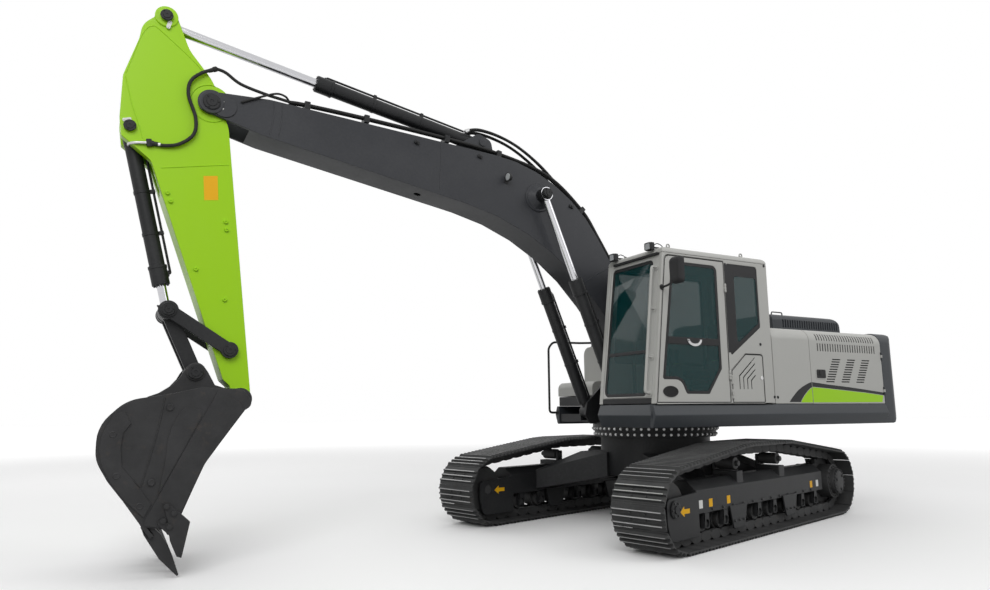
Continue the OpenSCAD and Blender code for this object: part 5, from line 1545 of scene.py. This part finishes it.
# the hose from the boom to the arm, in the arm's frame, with its port on the arm
hoseView = {
    "route": [
        (-0.33, 0.215, -0.02), (-0.3, 0.215, 0.06), (-0.21, 0.215, 0.17), (-0.06, 0.215, 0.205),
        (0.16, 0.215, 0.16), (0.33, 0.215, 0.19), (0.43, 0.21, 0.32), (0.45, 0.203, 0.45),
        (0.43, 0.1965, 0.56),
    ],
    "r": 0.017,
    "port": [(-0.05, 0.021), (-0.012, 0.021), (-0.012, 0.027), (0.006, 0.027), (0.006, 0.03), (0.016, 0.03)],
}
hoseEnd, hoseInside = Vector(hoseView["route"][-1]), Vector(hoseView["route"][-2])


def makeHose(v):
    route = [armAt @ q for q in curvePoints(v["route"], 5)]
    bm = bmesh.new()
    sweep(bm, route, v["r"], 16)
    bmesh.ops.recalc_face_normals(bm, faces=bm.faces)
    mesh = meshFrom("armHose", bm)
    mesh.materials.append(finishes["hose_rubber"])
    mesh.shade_smooth()
    hose = newObject("armHose", mesh)
    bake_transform(hose)
    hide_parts("arm_hose")
    length = sum((b - a).length for a, b in zip(route, route[1:]))
    print("hose made, length", round(length, 3))


def makeHosePort(v):
    bm = bmesh.new()
    lathe(bm, v["port"], hoseEnd, hoseEnd - hoseInside, 18)
    addBox(bm, (0.39, armFace + 0.0003, 0.562), (0.46, 0.216, 0.61), 0.005)
    addPiece("armHosePort", bm, "arm", "black_paint", armAt, 35)


makeHose(hoseView)
makeHosePort(hoseView)

# the pipe end that feeds the hose, and a thinner line beside the fork
boomEnds = {
    "feed": [
        (5.25, 0.175, 0.472), (5.36, 0.197, 0.43), (5.5, 0.207, 0.385),
        (5.75, 0.211, 0.335), (5.92, 0.215, 0.355),
    ],
    "line": [
        (5.25, 0.125, 0.47), (5.29, 0.16, 0.485), (5.34, 0.205, 0.48),
        (5.42, 0.231, 0.44), (5.53, 0.231, 0.32), (5.66, 0.2265, 0.16),
    ],
    "r": (0.016, 0.011), "lead": 0.06,
    "sleeve": [(-0.02, 0.019), (0.03, 0.022), (0.03, 0.026), (0.06, 0.026), (0.07, 0.018)],
}


def makeBoomEnds(v):
    bm = bmesh.new()
    fromArm = boomAt.inverted() @ armAt
    first, second = (Vector(q) for q in hoseView["route"][:2])
    joint, ahead = fromArm @ first, fromArm.to_3x3() @ (first - second)
    sweep(bm, curvePoints(v["feed"] + [joint + ahead.normalized() * v["lead"]], 6), v["r"][0], 12)
    sweep(bm, curvePoints(v["line"], 6), v["r"][1], 12)
    lathe(bm, v["sleeve"], joint, ahead, 18)
    addPiece("boomHoseEnds", bm, "boom", "hose_rubber", boomAt, 40)


makeBoomEnds(boomEnds)


# cylinders: gland bolts, band clamps and the pipe along each barrel
def pinAt(at, pin):
    return at @ Vector((pin[0], 0, pin[1]))


boomCylinder = {
    "body": "boom_barrels", "ends": (pinAt(upperAt, (0.793, 1.344)), pinAt(boomAt, boomRodPin)),
    "d": 0.15, "short": 1.089, "pipe": 1,
}
cylinders = [
    {**boomCylinder, "y": 0.36}, {**boomCylinder, "y": -0.36},
    {
        "body": "arm_barrel", "ends": (pinAt(boomAt, armBasePin), pinAt(armAt, armRodPin)),
        "y": 0, "d": 0.16, "short": 1.537, "pipe": 1,
    },
    {
        "body": "bucket_barrel", "ends": (pinAt(armAt, bucketBasePin), pinAt(armAt, leverEnd)),
        "y": 0, "d": 0.14, "short": 0.267, "pipe": -1,
    },
]


def bandRing(bm, x, half, chamfer, inner, outer):
    profile = [(x - half, inner), (x - half + chamfer, outer), (x + half - chamfer, outer), (x + half, inner)]
    lathe(bm, profile, (0, 0, 0), (1, 0, 0), 48, True)


def barrelTrim(length, r, up):
    # drawn along x from the base pin; up is the side that the pipe lies on
    bm = bmesh.new()
    for c, s in circle(10):
        boltHead(bm, (length, (r - 0.008) * c, (r - 0.008) * s), (1, 0, 0), 0.009, 0.012)
    bandRing(bm, length - 0.173, 0.015, 0.002, r + 0.0102, r + 0.014)
    low, high, out = 0.16, length - 0.1, up * (r + 0.03)
    pipe = [(low, 0, up * (r - 0.005)), (low, 0, out), (high, 0, out), (high, 0, up * (r + 0.004))]
    sweep(bm, bend(pipe, 0.03), 0.012, 10)
    z0, z1 = span(up, r - 0.008, r + 0.018)
    for x in (low, high):
        addBox(bm, (x - 0.028, -0.026, z0), (x + 0.028, 0.026, z1), 0.004)
    z0, z1 = span(up, r, r + 0.046)
    for t in (0.35, 0.68):
        x = low + (high - low) * t
        bandRing(bm, x, 0.016, 0.002, r + 0.0003, r + 0.005)
        addBox(bm, (x - 0.018, -0.022, z0), (x + 0.018, 0.022, z1), 0.005)
    return bm


def makeBarrelTrim():
    parts = {}
    for c in cylinders:
        a, b = c["ends"]
        bm = barrelTrim((b - a).length - c["short"], c["d"] / 2, c["pipe"])
        slope = Matrix.Rotation(-math.atan2(b.z - a.z, b.x - a.x), 4, "Y")
        bm.transform(Matrix.Translation(a + Vector((0, c["y"], 0))) @ slope)
        merge(parts.setdefault(c["body"], bmesh.new()), bm)
    for body, bm in parts.items():
        addPiece(camel(body) + "Trim", bm, body, "black_paint", Matrix(), 35)


makeBarrelTrim()

# undercarriage: hub covers, guard bolts, blank marks, bolt rings as (radius, count, offset, start)
underView = {
    "hubOut": 0.24, "frameOut": 0.17, "hubKnobs": (0.3, 2.4, 4.5),
    "hub": [(0.0003, 0.158), (0.008, 0.155), (0.02, 0.135), (0.026, 0.1), (0.028, 0.05)],
    "idler": [(0.0003, 0.085), (0.012, 0.085), (0.018, 0.075), (0.018, 0.04), (0.03, 0.036)],
    "hubBolts": [(0.19, 20, -0.05, 0.0), (0.145, 20, 0.0123, 0.16)], "idlerBolts": [(0.066, 6, 0.015, 0.0)],
    "guards": (0.7, -0.56),
    "arrow": [
        (0, 0), (-0.07, 0.05), (-0.07, 0.022), (-0.17, 0.022),
        (-0.17, -0.022), (-0.07, -0.022), (-0.07, -0.05),
    ],
    "outerArrow": (1.82, 0.385), "innerArrow": (1.81, 0.404), "mark": (0.0003, 0.0013),
    "yellowMarks": (1.244, 0.876, -1.22), "paleMarks": (1.437, -1.402),
}


def boltPlaces(rings, centre, s):
    return [
        (centre + Vector((r * c, s * offset, r * n)), facing((0, s, 0)))
        for r, count, offset, start in rings for c, n in circle(count, start)
    ]


def makeUndercarriage(v):
    covers, yellow, pale = bmesh.new(), bmesh.new(), bmesh.new()
    bolts = []
    gauge = track["gauge"] / 2
    low, high = v["mark"]

    def arrow(place, y0, y1):
        slabPiece(yellow, [(place[0] + a, place[1] + b) for a, b in v["arrow"]], y0, y1)

    for s in sides:
        hub = Vector((-track["base"] / 2, s * (gauge + v["hubOut"]), track["axle"]))
        lathe(covers, v["hub"], hub, (0, s, 0), 40)
        for g in v["hubKnobs"]:
            knob = hub + Vector((math.cos(g), 0, math.sin(g))) * 0.1
            lathe(covers, [(0.022, 0.018), (0.034, 0.018), (0.037, 0.013)], knob, (0, s, 0), 6)
        bolts += boltPlaces(v["hubBolts"], hub, s)
        face = gauge + v["frameOut"]
        idler = Vector((track["base"] / 2, s * face, track["axle"]))
        lathe(covers, v["idler"], idler, (0, s, 0), 32)
        bolts += boltPlaces(v["idlerBolts"], idler, s)
        for x in v["guards"]:
            bolts += [((x + dx, s * (face + 0.0202), 0.2), facing((0, s, 0))) for dx in (-0.1, 0, 0.1)]
        bolts += [((-1.2 + i * 0.22, s * (face + 0.0002), 0.36), facing((0, s, 0))) for i in range(12)]
        skinned = span(s, face + low, face + high)
        arrow(v["outerArrow"], *skinned)
        for plates, places in ((yellow, v["yellowMarks"]), (pale, v["paleMarks"])):
            for x in places:
                flat(plates, box2(x - 0.035, 0.385, x + 0.035, 0.465, 0.006), *skinned)
    inner = v["frameOut"] - gauge
    arrow(v["innerArrow"], inner + low, inner + high)
    addPiece("hubCovers", covers, "undercarriage", "black_paint", tracksAt, 35)
    addPiece("frameMarks", yellow, "undercarriage", "yellow_paint", tracksAt)
    addPiece("framePlates", pale, "undercarriage", "white_paint", tracksAt)
    shape = bmesh.new()
    boltHead(shape, (0, 0, 0), (0, 0, 1), 0.012, 0.014)
    spread("frameBolts", shape, bolts, "undercarriage", "track_steel", tracksAt)


makeUndercarriage(underView)

# bolt rings of the slewing ring, below and above, as body, radius and height
slewView = {"count": 56, "slewBolts": ("undercarriage", 0.77, 1.062), "deckBolts": ("upper", 0.79, 1.13)}


def makeSlewBolts(v):
    for name in ("slewBolts", "deckBolts"):
        body, r, z = v[name]
        places = [((r * c, r * s, z), facing((c, s, 0))) for c, s in circle(v["count"])]
        shape = bmesh.new()
        boltHead(shape, (0, 0, 0), (0, 0, 1), 0.014, 0.016)
        spread(name, shape, places, body, "bright_metal", upperAt)


makeSlewBolts(slewView)

# painted shade: dark sheets behind the slots of the service doors and the hatch, standing in for the shade
# inside them; boxes are (x, z, x, z)
slotShadeView = {
    "y": (1.404, 1.409), "boxes": [(-2.6, 2.05, -1.38, 2.18), (-2.58, 1.67, -1.5, 2.0)], "row": (-2.6, -1.38),
    "shoulder": (1.265, 2.19), "skin": (0.14, 0.1445), "hatch": ((-0.4, 1.424, 1.52), (-0.06, 1.43, 1.9)),
}


def makeSlotShades(v):
    inner, outer = v["skin"]
    for s, door in zip(sides, ("left", "right")):
        bm = bmesh.new()
        y0, y1 = span(s, *v["y"])
        for x0, z0, x1, z1 in v["boxes"]:
            addBox(bm, (x0, y0, z0), (x1, y1, z1), 0.001)
        # the upper row lies on the rounded shoulder
        line = arc(*v["shoulder"], outer, 4, 36, 8) + arc(*v["shoulder"], inner, 40, -36, 8)
        skin(bm, [[bm.verts.new((x, s * y, z)) for y, z in line] for x in v["row"]])
        addPiece(door + "DoorLiner", bm, f"{door}_service_door", "deep_black", upperAt)
    bm = bmesh.new()
    # the hatch's slot gets the same painted shade
    addBox(bm, *v["hatch"], 0.001)
    addPiece("hatchLiner", bm, "side_hatch", "deep_black", upperAt)


makeSlotShades(slotShadeView)
print("cylinder trim, undercarriage bolts and liners made")

# dark eyes on the rods with their grease nipples: body, frame, pin, places across, radius, width
rodEyes = [
    ("boom_rods", boomAt, boomRodPin, (0.36, -0.36), 0.0815, 0.1165),
    ("arm_rod", armAt, armRodPin, (0,), 0.0865, 0.1105),
    ("bucket_rod", armAt, leverEnd, (0,), 0.0815, 0.1105),
]


def makeEyes():
    nipple = [(-0.014, 0.013), (0.0, 0.013), (0.012, 0.009), (0.02, 0.005)]
    for body, at, (x, z), ys, r, width in rodEyes:
        bm = bmesh.new()
        w, off = width / 2, (r + 0.01) * 0.7
        for y in ys:
            eye = [(-w, r - 0.008), (-w + 0.006, r), (w - 0.006, r), (w, r - 0.008)]
            lathe(bm, eye, (x, y, z), (0, 1, 0), 40)
            lathe(bm, nipple, (x - off, y, z + off), (-1, 0, 1), 10)
        addPiece(camel(body) + "Eyes", bm, body, "black_paint", at, 35)


makeEyes()

# raised plates round the boom's tip pin, and rings round the rod bosses
tipView = {"tip": (*boomTip, 0.128, -70), "tail": (5.775, 0.036, 0.118, 110), "thick": 0.0122}


def makeTipPlates(v):
    bm = bmesh.new()
    line = arc(*v["tip"], 180, 16) + arc(*v["tail"], 180, 16)
    ring = [(0.0, 0.178), (0.006, 0.178), (0.016, 0.168)]
    for s in sides:
        low = boomFace + 0.0003
        mergeSlab(bm, line[::s], s * low, s * (low + v["thick"]), 0.004)
        lathe(bm, ring, (boomRodPin[0], s * (boomFace + 0.0002), boomRodPin[1]), (0, s, 0), 48)
    addPiece("boomTipPlates", bm, "boom", "boom_grey", boomAt, 30)


makeTipPlates(tipView)

# pipes from the arm cylinder's ports down to the boom's foot, and from the hose's port to the bucket cylinder
lineView = {
    "top": [
        (3.4, 1.405), (3.27, 1.5), (3.02, 1.575), (2.73, 1.6),
        (2.4, 1.56), (2.1, 1.475), (1.75, 1.352), (1.5, 1.235),
    ],
    "lanes": (0.11, 0.055, 0.0, -0.055), "arch": 0.03,
    "ports": [(3.4, 0.11, 1.4), (3.38, 0.0, 1.437)], "portAim": (0.6, 0, -1),
    "port": [(-0.02, 0.019), (0.012, 0.02), (0.012, 0.025), (0.032, 0.025), (0.04, 0.018)],
    "armPipe": [(0.425, 0.198, 0.6), (0.425, 0.198, 0.7), (0.42, 0.16, 0.755), (0.41, 0.078, 0.755)],
}


def makeLines(v):
    bm = bmesh.new()
    last = len(v["top"]) - 1
    for i, y in enumerate(v["lanes"]):
        rise = v["arch"] * (i % 2)  # every second pipe arches a little higher
        line = [(x, y, z + rise * math.sin(math.pi * k / last)) for k, (x, z) in enumerate(v["top"])]
        sweep(bm, curvePoints(line, 6), 0.015, 10)
    addPiece("armCylinderPipes", bm, "boom", "hose_rubber", boomAt, 40)
    bm = bmesh.new()
    for at in v["ports"]:
        lathe(bm, v["port"], at, v["portAim"], 14)
    addPiece("armCylinderPorts", bm, "boom", "bright_metal", boomAt, 35)
    bm = bmesh.new()
    sweep(bm, bend(v["armPipe"], 0.03), 0.014, 12)
    addPiece("armPortPipe", bm, "arm", "bright_metal", armAt, 40)
    bm = bmesh.new()
    sweep(bm, [hoseEnd, hoseEnd + (hoseInside - hoseEnd).normalized() * 0.07], 0.0195, 16)
    addPiece("armHoseFerrule", bm, "arm", "bright_metal", armAt, 40)


makeLines(lineView)

# rubber seals round the cab door and the hatch
sealView = {
    "doorSeal": ("cab_door", [
        (0.092, 1.435, 0.012), (frontX(1.435) - 0.034, 1.435, 0.012),
        (frontX(3.057) - 0.034, 3.057, 0.07), (0.092, 3.057, 0.02),
    ]),
    "hatchSeal": ("side_hatch", [
        (0.058, 1.435, 0.01), (0.058, 1.795, 0.02), (-0.175, 1.99, 0.03),
        (-0.455, 1.99, 0.04), (-0.455, 1.435, 0.02),
    ]),
}
sealFace = {"y": 1.4362, "thick": 0.0012, "width": 0.009, "edge": 0.0005}


def makeSeals(v):
    for name, (body, rim) in sealView.items():
        bm = bmesh.new()
        borderPiece(bm, rim, v["width"], v["y"], v["y"] + v["thick"], v["edge"])
        addPiece(name, bm, body, "dark_plastic", upperAt, 30)


makeSeals(sealFace)
print("eyes, pipes and seals made")
